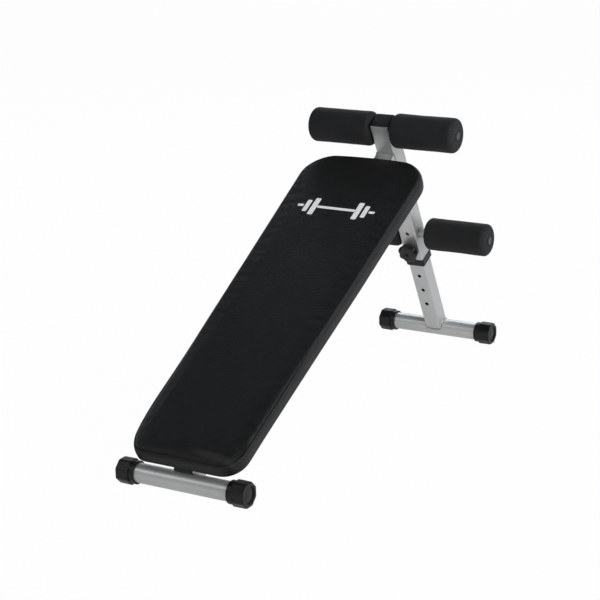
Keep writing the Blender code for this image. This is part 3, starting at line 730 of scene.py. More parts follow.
def foot(end, base, body):
    half = FOOT_SHOWN / 2 + CAP_SOCKET - 1.0
    bore = FOOT_R - FOOT_WALL
    profile = [(FOOT_R, half * share) for share in (-1, -0.5, 0, 0.5, 1)]
    profile += [(bore, half), (bore, -half)]
    turned(f"{end}_foot_round_tube", profile, SILVER, base @ ALONG_X, body,
           f"{end}_foot_tube", sides=128, ring=True)
    foot_cap(f"{end}_foot_cap_right", base @ shift(FOOT_SHOWN / 2, 0, 0) @ ALONG_X, body)
    foot_cap(f"{end}_foot_cap_left", base @ shift(-FOOT_SHOWN / 2, 0, 0) @ ALONG_MINUS_X, body)


foot("front", FRONT, "frame")
foot("rear", REAR, "leg")


# ============================================================= upright and leg
def square_tube(name, width, depth, corner, s0, s1, body, replaces):
    """A square tube along the upright, its outer end edges eased."""
    ease = 0.4
    path = ((ease, s0), (0.0, s0 + ease), (0.0, s1 - ease), (ease, s1), (WALL, s1), (WALL, s0))
    loops = [flat(drawn_in(width, depth, corner, inset), z) for inset, z in path]
    return solid(name, loops, SILVER, UPRIGHT, body, replaces, ring=True)


def upright_tube():
    tube = square_tube("upright_square_tube", UP_WIDTH, UP_WIDTH, UP_CORNER, UP_S0, UP_S1,
                       "frame", "upright_tube")
    bore = BAR_R + 0.2
    bar_bore = cutter([(bore, -40.0), (bore, 40.0)],
                      UPRIGHT @ shift(0, 0, TOP_BAR_S) @ ALONG_X, 64)
    drill(tube, [front_hole(UP_WIDTH / 2, s) for s in (PIN_S, SPARE_S)] + [bar_bore])
    darken_inside(tube, UP_WIDTH, UP_WIDTH)


def leg_tube():
    tube = square_tube("leg_square_tube", LEG_WIDTH, LEG_DEPTH, LEG_CORNER, LEG_S0, LEG_S1,
                       "leg", "leg_tube")
    drill(tube, [front_hole(LEG_DEPTH / 2, HOLE_FIRST + i * HOLE_PITCH)
                 for i in range(HOLE_COUNT)])
    darken_inside(tube, LEG_WIDTH, LEG_DEPTH)


def leg_foot_joint():
    """The leg's coped end and its weld: the tube runs down on to the round foot."""

    def over_foot(outline, radius):
        return np.sqrt(np.maximum(0.0, radius**2 - outline[:, 1] ** 2))

    outer = rounded(LEG_WIDTH, LEG_DEPTH, LEG_CORNER)
    inner = rounded(LEG_WIDTH - 2 * WALL, LEG_DEPTH - 2 * WALL, 1.6)
    top = LEG_S0 + 0.02
    low, high = [], []
    for outline in (outer, inner):
        saddle = over_foot(outline, FOOT_R + 0.05)
        low.append(np.column_stack([outline, saddle]))
        high.append(np.column_stack([outline, np.maximum(top, saddle + 0.3)]))
    solid("leg_coped_end", [low[0], high[0], high[1], low[1]], SILVER, UPRIGHT, "leg",
          ring=True)
    rim = rounded(LEG_WIDTH + 1.6, LEG_DEPTH + 1.6, 3.6)
    path = np.column_stack([rim, over_foot(rim, FOOT_R + 0.65) + 0.6])
    bead("leg_foot_weld", path, 2.1, UPRIGHT, "leg", seed=0.4)


def upright_top_cap():
    """A boss inside the tube and a low domed lid over its end."""
    top = UP_S1 + 0.3
    path = [(2.4, 684.0), (1.9, 686.0)]
    path += fillet([(1.9, top, 0), (0.15, top, 0), (0.0, top + 0.15, 0), (0.0, top + 3.3, 2.2),
                    (4.5, top + 3.6, 0), (12.0, top + 3.9, 0), (22.0, top + 4.0, 0)], 6)
    loops = [flat(drawn_in(UP_WIDTH, UP_WIDTH, UP_CORNER, inset, least=0.6), z)
             for inset, z in path]
    solid("upright_top_cap", loops, PLASTIC, UPRIGHT, replaces="upright_top_plug")


def leg_bush():
    """A collar over the upright's low end, with a sleeve between it and the leg."""
    leg_bore = rounded(LEG_WIDTH + 0.5, LEG_DEPTH + 0.5, 3.2)
    tube_seat = rounded(UP_WIDTH + 0.3, UP_WIDTH + 0.3, 4.2)
    sleeve = rounded(46.6, 46.6, 2.4)
    collar = fillet([(3.2, COLLAR_S0, 0), (0.0, COLLAR_S0, 1.5), (0.0, COLLAR_S1 - 3, 0)], 5)
    collar += fillet([(0.0, COLLAR_S1 - 2.5, 0), (0.0, COLLAR_S1, 0.7),
                      (1.0, COLLAR_S1, 0)], 4)[1:]
    loops = [
        flat(leg_bore, SLEEVE_S1),
        flat(leg_bore, COLLAR_S0 + 0.8),
        flat(rounded(LEG_WIDTH + 1.6, LEG_DEPTH + 1.6, 3.7), COLLAR_S0 + 0.1),
    ]
    loops += [flat(drawn_in(COLLAR_WIDTH, COLLAR_WIDTH, 5.2, inset), z) for inset, z in collar]
    loops += [
        flat(tube_seat, COLLAR_S1 - 0.2),
        flat(tube_seat, COLLAR_S0 + 3.1),
        flat(sleeve, COLLAR_S0 + 3.1),
        flat(sleeve, SLEEVE_S1),
    ]
    solid("leg_bush_collar", loops, PLASTIC, UPRIGHT, replaces="leg_bush", ring=True)


upright_tube()
leg_tube()
leg_foot_joint()
upright_top_cap()
leg_bush()

# ==================================================================== backbone
# the upright's front face and the front foot's axis, seen from the board's frame
TO_BOARD = BOARD.inverted()
UP_REARWARD = (UPRIGHT.to_3x3() @ Vector((0, 1, 0))).normalized()
FACE_POINT = TO_BOARD @ (UPRIGHT.translation - UP_REARWARD * (UP_WIDTH / 2) * MM)
FACE_NORMAL = TO_BOARD.to_3x3() @ UP_REARWARD
FOOT_AXIS = (TO_BOARD @ FRONT.translation) / MM
FOOT_CUT = 9.6  # the backbone's end is never cut nearer to the foot's axis


def meet_upright(z, gap):
    """Slope distance at which a line at height z stops short of the upright's face."""
    rise = (z * MM - FACE_POINT.z) * FACE_NORMAL.z / FACE_NORMAL.y
    return (FACE_POINT.y - rise) / MM - gap


def meet_foot(z, radius=FOOT_R):
    """Slope distance at which a line at height z leaves the front foot."""
    off = z - FOOT_AXIS.z
    return FOOT_AXIS.y + max(FOOT_CUT, math.sqrt(max(0.0, radius * radius - off * off)))


def dense(outline, count):
    """Extra points on the straights, where the walls are cut along a curve."""
    out = []
    for i, start in enumerate(outline):
        side = outline[(i + 1) % len(outline)] - start
        steps = count if np.linalg.norm(side) > 10 else 1
        out += [start + side * k / steps for k in range(steps)]
    return np.array(out)


def backbone():
    middle = -(BACK_TOP + UP_WIDTH / 2)
    half = UP_WIDTH / 2

    def cut(outline, meet):
        return np.array([(x, meet(z + middle), z + middle) for x, z in outline])

    def at_foot(z):
        return meet_foot(z) + 0.1

    def at_upright(z):
        return meet_upright(z, 0.1)

    outer, inner = (dense(drawn_in(UP_WIDTH, UP_WIDTH, UP_CORNER, inset), 24)
                    for inset in (0.0, WALL))
    loops = [cut(outer, at_foot), cut(outer, at_upright),
             cut(inner, at_upright), cut(inner, at_foot)]
    solid("backbone_square_tube", loops, SILVER, BOARD, replaces="backbone_tube", ring=True)

    rim = dense(rounded(UP_WIDTH + 1.4, UP_WIDTH + 1.4, 4.6), 30)
    bead("neck_weld", cut(rim, lambda z: meet_upright(z, 0.9)), 1.9, BOARD,
         side=(0.0, 1.0, 0.0), seed=1.1)

    # the weld runs down one side, under and up the other, where the walls touch the foot
    def weld_point(x, z):
        return (x, meet_foot(z, FOOT_R + 0.7) + 0.4, z)

    top = FOOT_AXIS.z + FOOT_R - 1.5
    side = [weld_point(-half - 0.6, z) for z in np.linspace(top, middle - half + 3.0, 40)]
    under = [weld_point(x, middle - half - 0.6) for x in np.linspace(-half + 3, half - 3, 30)]
    path = side + under + [(-x, y, z) for x, y, z in reversed(side)]
    bead("front_foot_weld", path, 1.9, BOARD, closed=False, side=(0.0, 1.0, 0.0), seed=2.3)

    # end plug: a lip over the cut walls and a boss inside, cut round the foot;
    # columns: inset, distance up the slope from the cut
    sections = [(3.0, 18.0), (2.2, 16.0), (2.2, 0.0), (0.3, -0.1), (0.0, -0.4),
                (0.0, -1.0), (0.4, -1.5), (1.2, -1.8), (9.0, -2.0)]
    loops = []
    for inset, rise in sections:
        y = FOOT_AXIS.y + FOOT_CUT + rise
        loops.append(cut(drawn_in(UP_WIDTH, UP_WIDTH, UP_CORNER, inset), lambda z: y))
    plug = solid("backbone_end_plug", loops, PLASTIC, BOARD)
    drill(plug, [cutter([(FOOT_R + 0.5, -60.0), (FOOT_R + 0.5, 60.0)], FRONT @ ALONG_X, 96)])


backbone()

# ================================================================ pin and knob
# Z points forward out of the upright's front face
PIN_FRAME = UPRIGHT @ shift(0, -UP_WIDTH / 2, PIN_S) @ FORWARD


def pin_housing():
    outside = fillet([(11.0, 0.0, 0), (11.0, 20.2, 0.8), (8.0, 20.5, 0.3), (5.2, 20.5, 0.3),
                      (5.2, 17.5, 0)], 4)
    turned("pin_housing_body", [(8.5, 0.0)] + outside + [(8.5, 17.5)], ZINC, PIN_FRAME,
           replaces="pin_housing", ring=True)
    bead("housing_weld", flat(circle(11.3, 60), 0.4), 1.6, PIN_FRAME, pitch=2.6, seed=0.7)


def lock_pin():
    profile = [
        (0.8, -9.0, 0), (3.4, -9.0, 0.8), (PIN_R, -7.0, 0.8), (PIN_R, 1.0, 0), (7.8, 1.0, 0.3),
        (7.8, 3.0, 0.3), (PIN_R, 3.0, 0), (PIN_R, 21.7, 0), (4.0, 21.7, 0), (4.0, 23.4, 0.6),
        (0.8, 23.8, 0),
    ]
    turned("lock_pin_steel", fillet(profile, 4), DARK_STEEL, PIN_FRAME, "lock_pin", "lock_pin",
           sides=48)


def pin_spring():
    """The pin's return spring: a wire on a helix with closed, flattened end turns.

    It sits between the pin's collar and the housing's lip, and keeps its shape when the pin is
    pulled.
    """
    near, far, coil_r, wire_r, turns, steps = 3.4, 17.1, 6.4, 0.5, 4.0, 32
    around = angles(12)[:, None]
    axis = np.array([0, 0, 1.0])
    loops = []
    for i in range(int(turns * steps) + 1):
        share = i / (turns * steps)
        # the end turns lie nearly flat, the rise is taken up between them
        ease = share - 0.6 * math.sin(2 * math.pi * share) / (2 * math.pi)
        at = 2 * math.pi * i / steps
        out = np.array([math.cos(at), math.sin(at), 0.0])
        z = near + wire_r + (far - near - 2 * wire_r) * ease
        loops.append(out * coil_r + axis * z
                     + wire_r * (np.cos(around) * out + np.sin(around) * axis))
    spring = solid("pin_spring_wire", loops, SPRING, PIN_FRAME, replaces="pin_spring",
                   sharp=60.0)
    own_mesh(spring)


def knob():
    """Broad rounded lobes with narrower scallops, and a stepped hub on the far face."""
    sides = 36 * KNOB_LOBES
    around = angles(sides)
    near, far, scallop = KNOB_NEAR, KNOB_FAR, 5.6
    outside = [(7.5, near, 0), (3.4, near + 2.0, 2.0), (0.3, near + 8.5, 6.0),
               (0.0, far - 8.0, 3.0), (0.6, far - 3.2, 2.4), (3.0, far - 0.9, 2.2),
               (6.8, far - 0.1, 0)]
    hub = [(16.5, far, 0), (14.2, far, 0.8), (13.4, far - 1.0, 0.8), (10.5, far - 1.0, 0.6),
           (9.6, far - 0.2, 0.6), (6.4, far - 0.2, 0.7), (5.9, far - 1.8, 0), (5.6, 26.0, 0),
           (4.15, 26.0, 0), (4.15, 22.0, 0), (12.2, 22.0, 0)]
    loops = rings([(12.2, near), (15.0, near)], sides)
    for inset, z in fillet(outside, 6):
        # the scallops grow from the near face and grow shallower at the far one
        depth = scallop * (min(1.0, max(0.25, (z - near) / 6.0))
                           * min(1.0, max(0.55, 1.0 - 0.45 * (z - far + 4) / 4)))
        lobe = (0.5 + 0.5 * np.cos(KNOB_LOBES * around)) ** 0.62
        loops.append(flat(polar(KNOB_R - inset - depth * (1 - lobe), around), z))
    loops += rings(fillet(hub, 3), sides)
    solid("knob_moulding", loops, KNOB_MAT, PIN_FRAME, "knob", "knob", ring=True, sharp=38.0)


pin_housing()
lock_pin()
pin_spring()
knob()


# =============================================================== rollers, bars
def bar_plug(node, end, s, turn, sign):
    flange = fillet([(10.6, -11.0, 0), (10.6, 0.05, 0), (12.5, 0.05, 0.3), (12.5, 1.5, 1.1),
                     (9.0, 2.9, 3.0), (4.0, 3.4, 0)], 5)
    turned(node + "_moulding", [(1.2, -12.0), (10.4, -12.0)] + flange + [(1.6, 3.4)],
           PLUG_MAT, UPRIGHT @ shift(sign * end, 0, s) @ turn, replaces=node)


def roller(name, diameter, x0, x1, s, turn, body, seed):
    """A foam sleeve: soft shoulders, a slight waist where it is gripped, uneven skin."""
    radius, bore, shoulder, depth = diameter / 2, BAR_R + 0.25, 13.5, 12.0
    # radius, depth behind the end: a lip at the bore, then a full round shoulder
    end = [(bore, 2.4), (bore + 0.5, 0.9), (bore + 1.8, 0.25), (bore + 4.0, 0.0),
           (bore + 7.5, 0.15)]
    for t in np.linspace(0.12, math.pi / 2, 15):
        end.append((radius - shoulder + shoulder * math.sin(t),
                    depth * (1 - math.cos(t)) + 0.25))
    end.append((radius, depth + 5.0))
    profile = [(r, x0 + back) for r, back in end]
    profile += [(radius, z) for z in np.linspace(x0 + 27, x1 - 27, 22)]
    profile += [(r, x1 - back) for r, back in reversed(end)]
    around = angles(128)
    loops = []
    for r, z in profile:
        share = (z - x0) / (x1 - x0)
        skin = (0.28 * np.sin(3 * around + 4 * share + seed) * math.sin(math.pi * share)
                + 0.16 * np.sin(7 * around - 11 * share + 2 * seed)
                + 0.12 * np.sin(2 * around + 23 * share + seed))
        waist = -0.35 * math.sin(math.pi * share) ** 2
        outness = (r - bore) / (radius - bore)
        loops.append(flat(polar(r + outness * (skin * 0.8 + waist - 0.25), around), z))
    solid(name + "_sleeve", loops, FOAM, UPRIGHT @ shift(0, 0, s) @ turn, body, name,
          ring=True, sharp=60.0, weighted=False)


def bar(name, profile, s, turn, replaces):
    turned(name, profile, SILVER, UPRIGHT @ shift(0, 0, s) @ turn, replaces=replaces, ring=True)


bar("top_cross_bar",
    [(BAR_BORE_R, -TOP_BAR_END), (BAR_R, -TOP_BAR_END), (BAR_R, 0.0),
     (BAR_R, TOP_BAR_END), (BAR_BORE_R, TOP_BAR_END)],
    TOP_BAR_S, ALONG_X, "top_roller_bar")
for side, sign, turn in (("left", -1, ALONG_MINUS_X), ("right", 1, ALONG_X)):
    bar(f"lower_bar_{side}_tube",
        [(BAR_BORE_R, UP_WIDTH / 2), (BAR_R, UP_WIDTH / 2),
         (BAR_R, LOW_BAR_END), (BAR_BORE_R, LOW_BAR_END)],
        LOW_BAR_S, turn, f"lower_roller_bar_{side}")
    bar_plug(f"top_bar_plug_{side}", TOP_BAR_END, TOP_BAR_S, turn, sign)
    bar_plug(f"lower_bar_plug_{side}", LOW_BAR_END, LOW_BAR_S, turn, sign)
    for level, s, diameter, (x0, x1), seed in (
        ("top", TOP_BAR_S, TOP_ROLLER_DIA, TOP_ROLLER_X, 0.6),
        ("lower", LOW_BAR_S, LOW_ROLLER_DIA, LOW_ROLLER_X, 2.9),
    ):
        if (level, side) == ("lower", "left"):
            x0, x1 = x0 + LOW_LEFT_SHIFT, x1 + LOW_LEFT_SHIFT
        roller(f"{level}_foam_roller_{side}", diameter, x0, x1, s, turn,
               f"{level}_roller_{side}", 1.7 * sign + seed)
        bead(f"{level}_bar_weld_{side}", flat(circle(13.1, 90), UP_WIDTH / 2 + 0.4), 1.5,
             UPRIGHT @ shift(0, 0, s) @ turn, pitch=3.0, seed=sign + s)

# ======================================================================= board
# the cover's grid: quads across the board and up it
COLUMNS, ROWS = 56, 190
EDGE_COUNT = 2 * (COLUMNS + ROWS)

SEAM_INSET = 5.9  # the welded seam between the top panel and the boxing strip
COVER_UNDER = -PAD_T - 0.9
# The cover's section from the flap underneath, up the side and on to the top.
# Columns: distance inside the outline, height.
COVER_PATH = [
    (31.5, -PAD_T - 0.05), (31.8, COVER_UNDER + 0.2), (31.0, COVER_UNDER),
    (22.0, COVER_UNDER), (14.0, COVER_UNDER), (7.0, COVER_UNDER),
    (3.8, COVER_UNDER + 0.3), (1.9, COVER_UNDER + 1.5), (0.9, COVER_UNDER + 3.6),
    (0.5, -31.0), (0.35, -27.5), (0.2, -24.0), (0.1, -20.5), (0.1, -17.0),
    (0.3, -13.8), (0.8, -11.0), (1.8, -8.8), (3.2, -7.6), (4.6, -7.5),
    (SEAM_INSET, -8.5),
    (6.7, -7.0), (7.3, -5.4), (8.4, -3.7), (10.2, -2.4), (12.8, -1.6),
    (16.5, -1.1), (21.0, -0.8), (27.0, -0.55), (34.0, -0.35),
]
SEAM_ROW = next(i for i, (inset, _) in enumerate(COVER_PATH) if inset == SEAM_INSET)
SKIN_START = SEAM_ROW * EDGE_COUNT  # first vertex of the seam; the top panel follows


def half_width(y):
    return PAD_HALF_LOW + PAD_FLARE * (np.maximum(y, 0.0) / 900.0) ** PAD_FLARE_POWER


def pad_outline():
    """The pad's outline, closely spaced, counter-clockwise from its low right corner."""
    y0, y1 = PAD_S0, PAD_S1 - PAD_CROWN_HIGH
    low_r, high_r = PAD_CORNER_LOW, PAD_CORNER_HIGH
    widest = half_width(y1 - 0.55 * high_r)

    def crown(x):
        return PAD_CROWN_HIGH * (1 - (x / widest) ** 2)

    right = []
    for t in np.linspace(0, math.pi / 2, 60):
        y = y0 + low_r * (1 - math.cos(t))
        right.append((half_width(y) - low_r * (1 - math.sin(t)), y))
    for y in np.linspace(y0 + low_r, y1 - high_r, 240)[1:-1]:
        right.append((half_width(y), y))
    for t in np.linspace(0, math.pi / 2, 80):
        y = y1 - high_r * (1 - math.sin(t))
        x = min(half_width(y), widest) - high_r * (1 - math.cos(t))
        right.append((x, y + crown(x) * math.sin(t)))
    low_x, high_x = right[0][0], right[-1][0]
    high = [(x, y1 + crown(x)) for x in np.linspace(high_x, -high_x, 60)[1:-1]]
    low = [(x, y0) for x in np.linspace(-low_x, low_x, 60)[1:-1]]
    loop = np.array(right + high + [(-x, y) for x, y in reversed(right)] + low)
    # smoothed a little, so that arcs run into straights without a kink
    for _ in range(30):
        loop = softened(loop)
    return loop


def outward(tangent):
    """Unit normals to the right of the tangents."""
    unit = tangent / np.linalg.norm(tangent, axis=1)[:, None]
    return np.stack([unit[:, 1], -unit[:, 0]], 1)


def pad_edge():
    """EDGE_COUNT outline points from the low right corner's middle, and their normals."""
    loop = pad_outline()
    run, position = ruler(closed_up(loop))
    total = run[-1]
    facing = outward(np.roll(loop, -1, 0) - np.roll(loop, 1, 0))

    def corner(sx, sy, y):
        """Distance to the outline point that looks diagonally outwards."""
        score = facing @ np.array([sx, sy]) / math.sqrt(2) - 1e-5 * np.abs(loop[:, 1] - y)
        return run[int(np.argmax(score))]

    y0, y1 = PAD_S0, PAD_S1 - PAD_CROWN_HIGH
    corners = [corner(1, -1, y0), corner(1, 1, y1), corner(-1, 1, y1), corner(-1, -1, y0)]
    ends = corners[1:] + [corners[0] + total]
    at = np.concatenate([
        a + (b - a) * np.arange(count) / count
        for a, b, count in zip(corners, ends, (ROWS, COLUMNS, ROWS, COLUMNS))
    ]) % total
    reach = 4.0
    normals = outward(position((at + reach) % total) - position((at - reach) % total))
    return position(at), normals


EDGE_POINTS, EDGE_NORMALS = pad_edge()


def edge_loop(inset, z):
    return flat(EDGE_POINTS - EDGE_NORMALS * inset, z)


def patch_border():
    """(row, column) -> place in an edge loop; rows run up the board, columns from the left."""
    border = {}
    for i in range(ROWS + 1):
        border[(i, COLUMNS)] = i
        border[(ROWS - i, 0)] = ROWS + COLUMNS + i
    for j in range(COLUMNS + 1):
        border[(ROWS, COLUMNS - j)] = ROWS + j
        border[(0, j)] = (2 * ROWS + COLUMNS + j) % EDGE_COUNT
    return border


BORDER = patch_border()


def patch(loop, edge_start, free_start, flip):
    """Fills an edge loop with a Coons grid: its new vertices and its faces.

    The loop's own vertices are numbered from edge_start, the new ones from free_start.
    """
    grid = np.zeros((ROWS + 1, COLUMNS + 1, 3))
    ids = -np.ones(grid.shape[:2], int)
    for cell, place in BORDER.items():
        grid[cell] = loop[place]
        ids[cell] = edge_start + place
    u = np.linspace(0, 1, COLUMNS + 1)[None, :, None]
    v = np.linspace(0, 1, ROWS + 1)[:, None, None]
    inner = (1 - u) * grid[:, :1] + u * grid[:, -1:] + (1 - v) * grid[:1] + v * grid[-1:]
    inner -= ((1 - u) * (1 - v) * grid[0, 0] + u * (1 - v) * grid[0, -1]
              + (1 - u) * v * grid[-1, 0] + u * v * grid[-1, -1])
    free = ids < 0
    ids[free] = free_start + np.arange(free.sum())
    faces = []
    for i in range(ROWS):
        for j in range(COLUMNS):
            quad = [int(q) for q in
                    (ids[i, j], ids[i, j + 1], ids[i + 1, j + 1], ids[i + 1, j])]
            faces.append(tuple(reversed(quad) if flip else quad))
    return inner[free], faces


def cover_mesh():
    """The upholstery as one closed body with a rebate for the plywood.

    Returns its vertices, its faces, the end of the outer skin's vertices, which is
    where the lining's begin.
    """
    count = EDGE_COUNT
    loops = [edge_loop(inset, z) for inset, z in COVER_PATH]
    faces = bands(len(loops), count)
    top_start = len(loops) * count
    top, top_faces = patch(loops[-1], top_start - count, top_start, False)
    faces += top_faces
    # inside: back along the flap, up the plywood's edge and across its top
    start = top_start + len(top)
    ply_top = -PAD_T + PLY_T + 0.15
    lining = [edge_loop(inset, z) for inset, z in (
        (PLY_INSET - 0.5, -PAD_T - 0.05), (PLY_INSET - 0.5, ply_top), (34.0, ply_top))]
    rows = [0] + [start + q * count for q in range(len(lining))]
    for a, b in zip(rows, rows[1:]):
        for i in range(count):
            j = (i + 1) % count
            faces.append((a + i, b + i, b + j, a + j))
    low, low_faces = patch(lining[-1], rows[-1], start + len(lining) * count, True)
    return np.concatenate(loops + [top] + lining + [low]), faces + low_faces, start


def edge_distance(xy):
    """Distance of each point to the outline, in chunks."""
    out = np.empty(len(xy))
    for a in range(0, len(xy), 2000):
        gap = xy[a : a + 2000, None, :] - EDGE_POINTS[None, :, :]
        out[a : a + 2000] = np.sqrt((gap * gap).sum(2)).min(1)
    return out


def smooth(start, end, v):
    t = np.clip((v - start) / (end - start), 0.0, 1.0)
    return t * t * (3 - 2 * t)


def bell(v, centre, width):
    return np.exp(-(((v - centre) / width) ** 2))


def shoulder(verts, edge, skin_end):
    """The seam is a sharp crease at the low end and dies out up the sides into a round edge."""
    first = next(i for i, (_, z) in enumerate(COVER_PATH) if z > -15.0) * EDGE_COUNT
    part = slice(first, skin_end)
    x, y, z = verts[part].T
    edge = edge[part]
    crease = 0.10 + 0.90 * smooth(430.0, 150.0, y)
    soft = -0.45 - 13.2 * np.clip(1 - edge / 14.0, 0.0, 1.0) ** 2.6
    z = crease * z + (1 - crease) * soft
    # low end: the panel rolls over gently before it drops into the crease
    t = np.clip((edge - SEAM_INSET) / 26.0, 0.0, 1.0)
    roll = -8.9 * (1 - t) ** 2.1
    weight = (smooth(70.0, 5.0, y) * (0.25 + 0.75 * smooth(-90.0, 60.0, x))
              * smooth(SEAM_INSET - 0.3, SEAM_INSET + 1.5, edge))
    verts[part, 2] = (1 - weight) * z + weight * np.minimum(z, roll)


# Gathers that fan out from the corners.
# Columns: centre x, centre y, height, waves per turn, reach.
GATHERS = (
    (108, 14, 0.55, 13.0, 50.0),
    (-110, 14, 0.28, 12.0, 46.0),
    (104, 930, 0.16, 11.0, 70.0),
    (-104, 930, 0.16, 12.0, 70.0),
)


def puckers(x, y, edge):
    """Height of gathers and dents, strongest round the low right corner."""
    inside = smooth(SEAM_INSET - 0.5, SEAM_INSET + 3.0, edge)
    near = np.exp(-np.maximum(edge - SEAM_INSET, 0) / 16.0) * inside
    out = np.zeros(len(x))
    for centre_x, centre_y, height, waves, reach in GATHERS:
        dx, dy = x - centre_x, y - centre_y
        away = np.sqrt(dx * dx + dy * dy) + 1e-6
        angle = np.arctan2(dy, dx)
        fan = np.sin(waves * angle + 1.1 * np.sin(2.1 * angle + centre_x) + 0.03 * away)
        out += height * fan * bell(away, 40.0, reach / 2.0) * near
    # along the low edge the panel swells over its seam, more and more towards the right
    more = smooth(-70.0, 90.0, x) * smooth(146.0, 112.0, x)
    out += bell(y, -14.0, 12.0) * inside * (0.3 + 1.2 * more)
    # the swelling breaks into two soft folds before the corner
    fold = np.sin((x - 0.55 * y) / 7.5) * bell(x, 96.0, 26.0) * bell(y, -6.0, 16.0)
    out += 0.55 * fold * inside
    # slow unevenness of the foam under the skin
    out += (0.30 * np.sin(x / 41.0 + 1.0) * np.sin(y / 67.0 + 0.4)
            + 0.15 * np.sin(x / 23.0 - y / 51.0)) * inside
    return out


def settle(skin, edge):
    """The low left corner is pulled in and round, the low edge's side sags to the right."""
    x, y, z = skin.T.copy()
    left = smooth(-60.0, -150.0, x)
    skin[:, 0] += (5.6 * bell(y, -2.0, 42.0) - 2.2 * bell(y, 130.0, 60.0)) * left
    skin[:, 0] -= 4.2 * smooth(520.0, 900.0, y) * smooth(60.0, 150.0, x)
    corner = 6.0 * np.exp(-((x + 130.0) ** 2 + (y + 17.0) ** 2) / 24.0**2)
    skin[:, 0] += 0.45 * corner
    skin[:, 1] -= 0.85 * corner
    # the crease climbs a little towards the left
    crease = bell(y, -24.0, 9.0) * smooth(-12.0, -8.0, z)
    skin[:, 1] += 5.0 * crease * smooth(110.0, -40.0, x) * smooth(-140.0, -112.0, x)
    sag = (1.0 + 0.9 * smooth(-20.0, 110.0, x)) * bell(y, -31.0, 75.0)
    skin[:, 2] -= sag * smooth(-6.0, -34.0, z) * smooth(16.0, 6.0, edge)


CLOTH = {
    "quality": 6,
    "mass": 0.35,
    "tension_stiffness": 18.0,
    "compression_stiffness": 14.0,
    "shear_stiffness": 8.0,
    "bending_stiffness": 6.0,
    "tension_damping": 12.0,
    "compression_damping": 12.0,
    "shear_damping": 12.0,
    "vertex_group_mass": "pin",
    "pin_stiffness": 6.0,
    "shrink_min": -0.003,  # slightly oversize
    "use_pressure": True,  # the foam's push
    "uniform_pressure_force": 2.0,
}
CLOTH_FRAMES = 18
SEAM_PIN, BY_SEAM_PIN = 0.97, 0.55  # hold of the seam's row and of its neighbours
MOVE_LIMIT = 3.0


def relax(obj, rest, skin_end):
    """Lets the cover settle over its padding, pinned underneath and along the seam."""
    weight = np.zeros(len(rest))
    for i, (_, z) in enumerate(COVER_PATH):
        hold = 0.0
        if z <= -33.0:
            hold = 1.0
        elif i == SEAM_ROW:
            hold = SEAM_PIN
        elif abs(i - SEAM_ROW) == 1:
            hold = BY_SEAM_PIN
        weight[i * EDGE_COUNT : (i + 1) * EDGE_COUNT] = hold
    weight[skin_end:] = 1.0
    pin = obj.vertex_groups.new(name="pin")
    for hold in (1.0, SEAM_PIN, BY_SEAM_PIN):
        ids = [int(v) for v in np.nonzero(np.isclose(weight, hold))[0]]
        pin.add(ids, hold, "REPLACE")

    cloth = obj.modifiers.new("cloth", "CLOTH")
    for key, value in CLOTH.items():
        setattr(cloth.settings, key, value)
    cloth.settings.effector_weights.gravity = 0.0
    cloth.collision_settings.use_collision = False
    cloth.point_cache.frame_start = 1
    cloth.point_cache.frame_end = CLOTH_FRAMES
    scene = bpy.context.scene
    for f in range(1, CLOTH_FRAMES + 1):
        scene.frame_set(f)
    graph = bpy.context.evaluated_depsgraph_get()
    done = obj.evaluated_get(graph).to_mesh()
    relaxed = np.empty(len(rest) * 3, np.float32)
    done.vertices.foreach_get("co", relaxed)
    obj.evaluated_get(graph).to_mesh_clear()

    moved = relaxed.reshape(-1, 3).astype(float) / MM - rest
    far = np.linalg.norm(moved, axis=1)
    moved *= (np.minimum(far, MOVE_LIMIT) / np.maximum(far, 1e-6))[:, None]
    # the panel is stretched tight over flat foam: it domes only slightly
    moved[SKIN_START:skin_end, 2] *= 0.5
    # the boxing strip is tight too: it hardly swells sideways
    moved[: SKIN_START + EDGE_COUNT, :2] *= 0.3
    # fully pinned rows stay exactly in place
    moved[weight >= 1.0] = 0.0
    obj.modifiers.remove(cloth)
    scene.frame_set(1)
    for group in list(obj.vertex_groups):
        obj.vertex_groups.remove(group)
    return rest + moved


def pucker_sides(verts):
    """Faint vertical puckers round the corners of the boxing strip, and a ragged flap."""
    count = np.arange(EDGE_COUNT)
    turning = np.linalg.norm(
        np.roll(EDGE_NORMALS, -1, 0) - np.roll(EDGE_NORMALS, 1, 0), axis=1)
    wrapped = np.r_[turning[-6:], turning, turning[:6]]
    turning = np.convolve(wrapped, np.ones(13) / 13, "same")[6:-6]
    bend = np.clip(turning / turning.max(), 0, 1)
    wave = np.sin(count * 1.15) * 0.16 + np.sin(count * 0.47 + 1.0) * 0.2

    def push(row, amount):
        part = slice(row * EDGE_COUNT, (row + 1) * EDGE_COUNT)
        verts[part, :2] += EDGE_NORMALS * amount[:, None]

    for i, (_, z) in enumerate(COVER_PATH[:SEAM_ROW]):
        if -36 < z < -7:
            height = math.sin(math.pi * (z + 38) / 34.0)
            push(i, bend * wave * height + 0.10 * np.sin(count * 0.23) - 0.1)
    # the flap's free edge is cut by hand: it wanders
    wander = (1.6 * np.sin(count * 0.19) + 1.1 * np.sin(count * 0.53 + 1.0)
              + 0.8 * np.sin(count * 0.031))
    for i in range(3):
        push(i, wander)


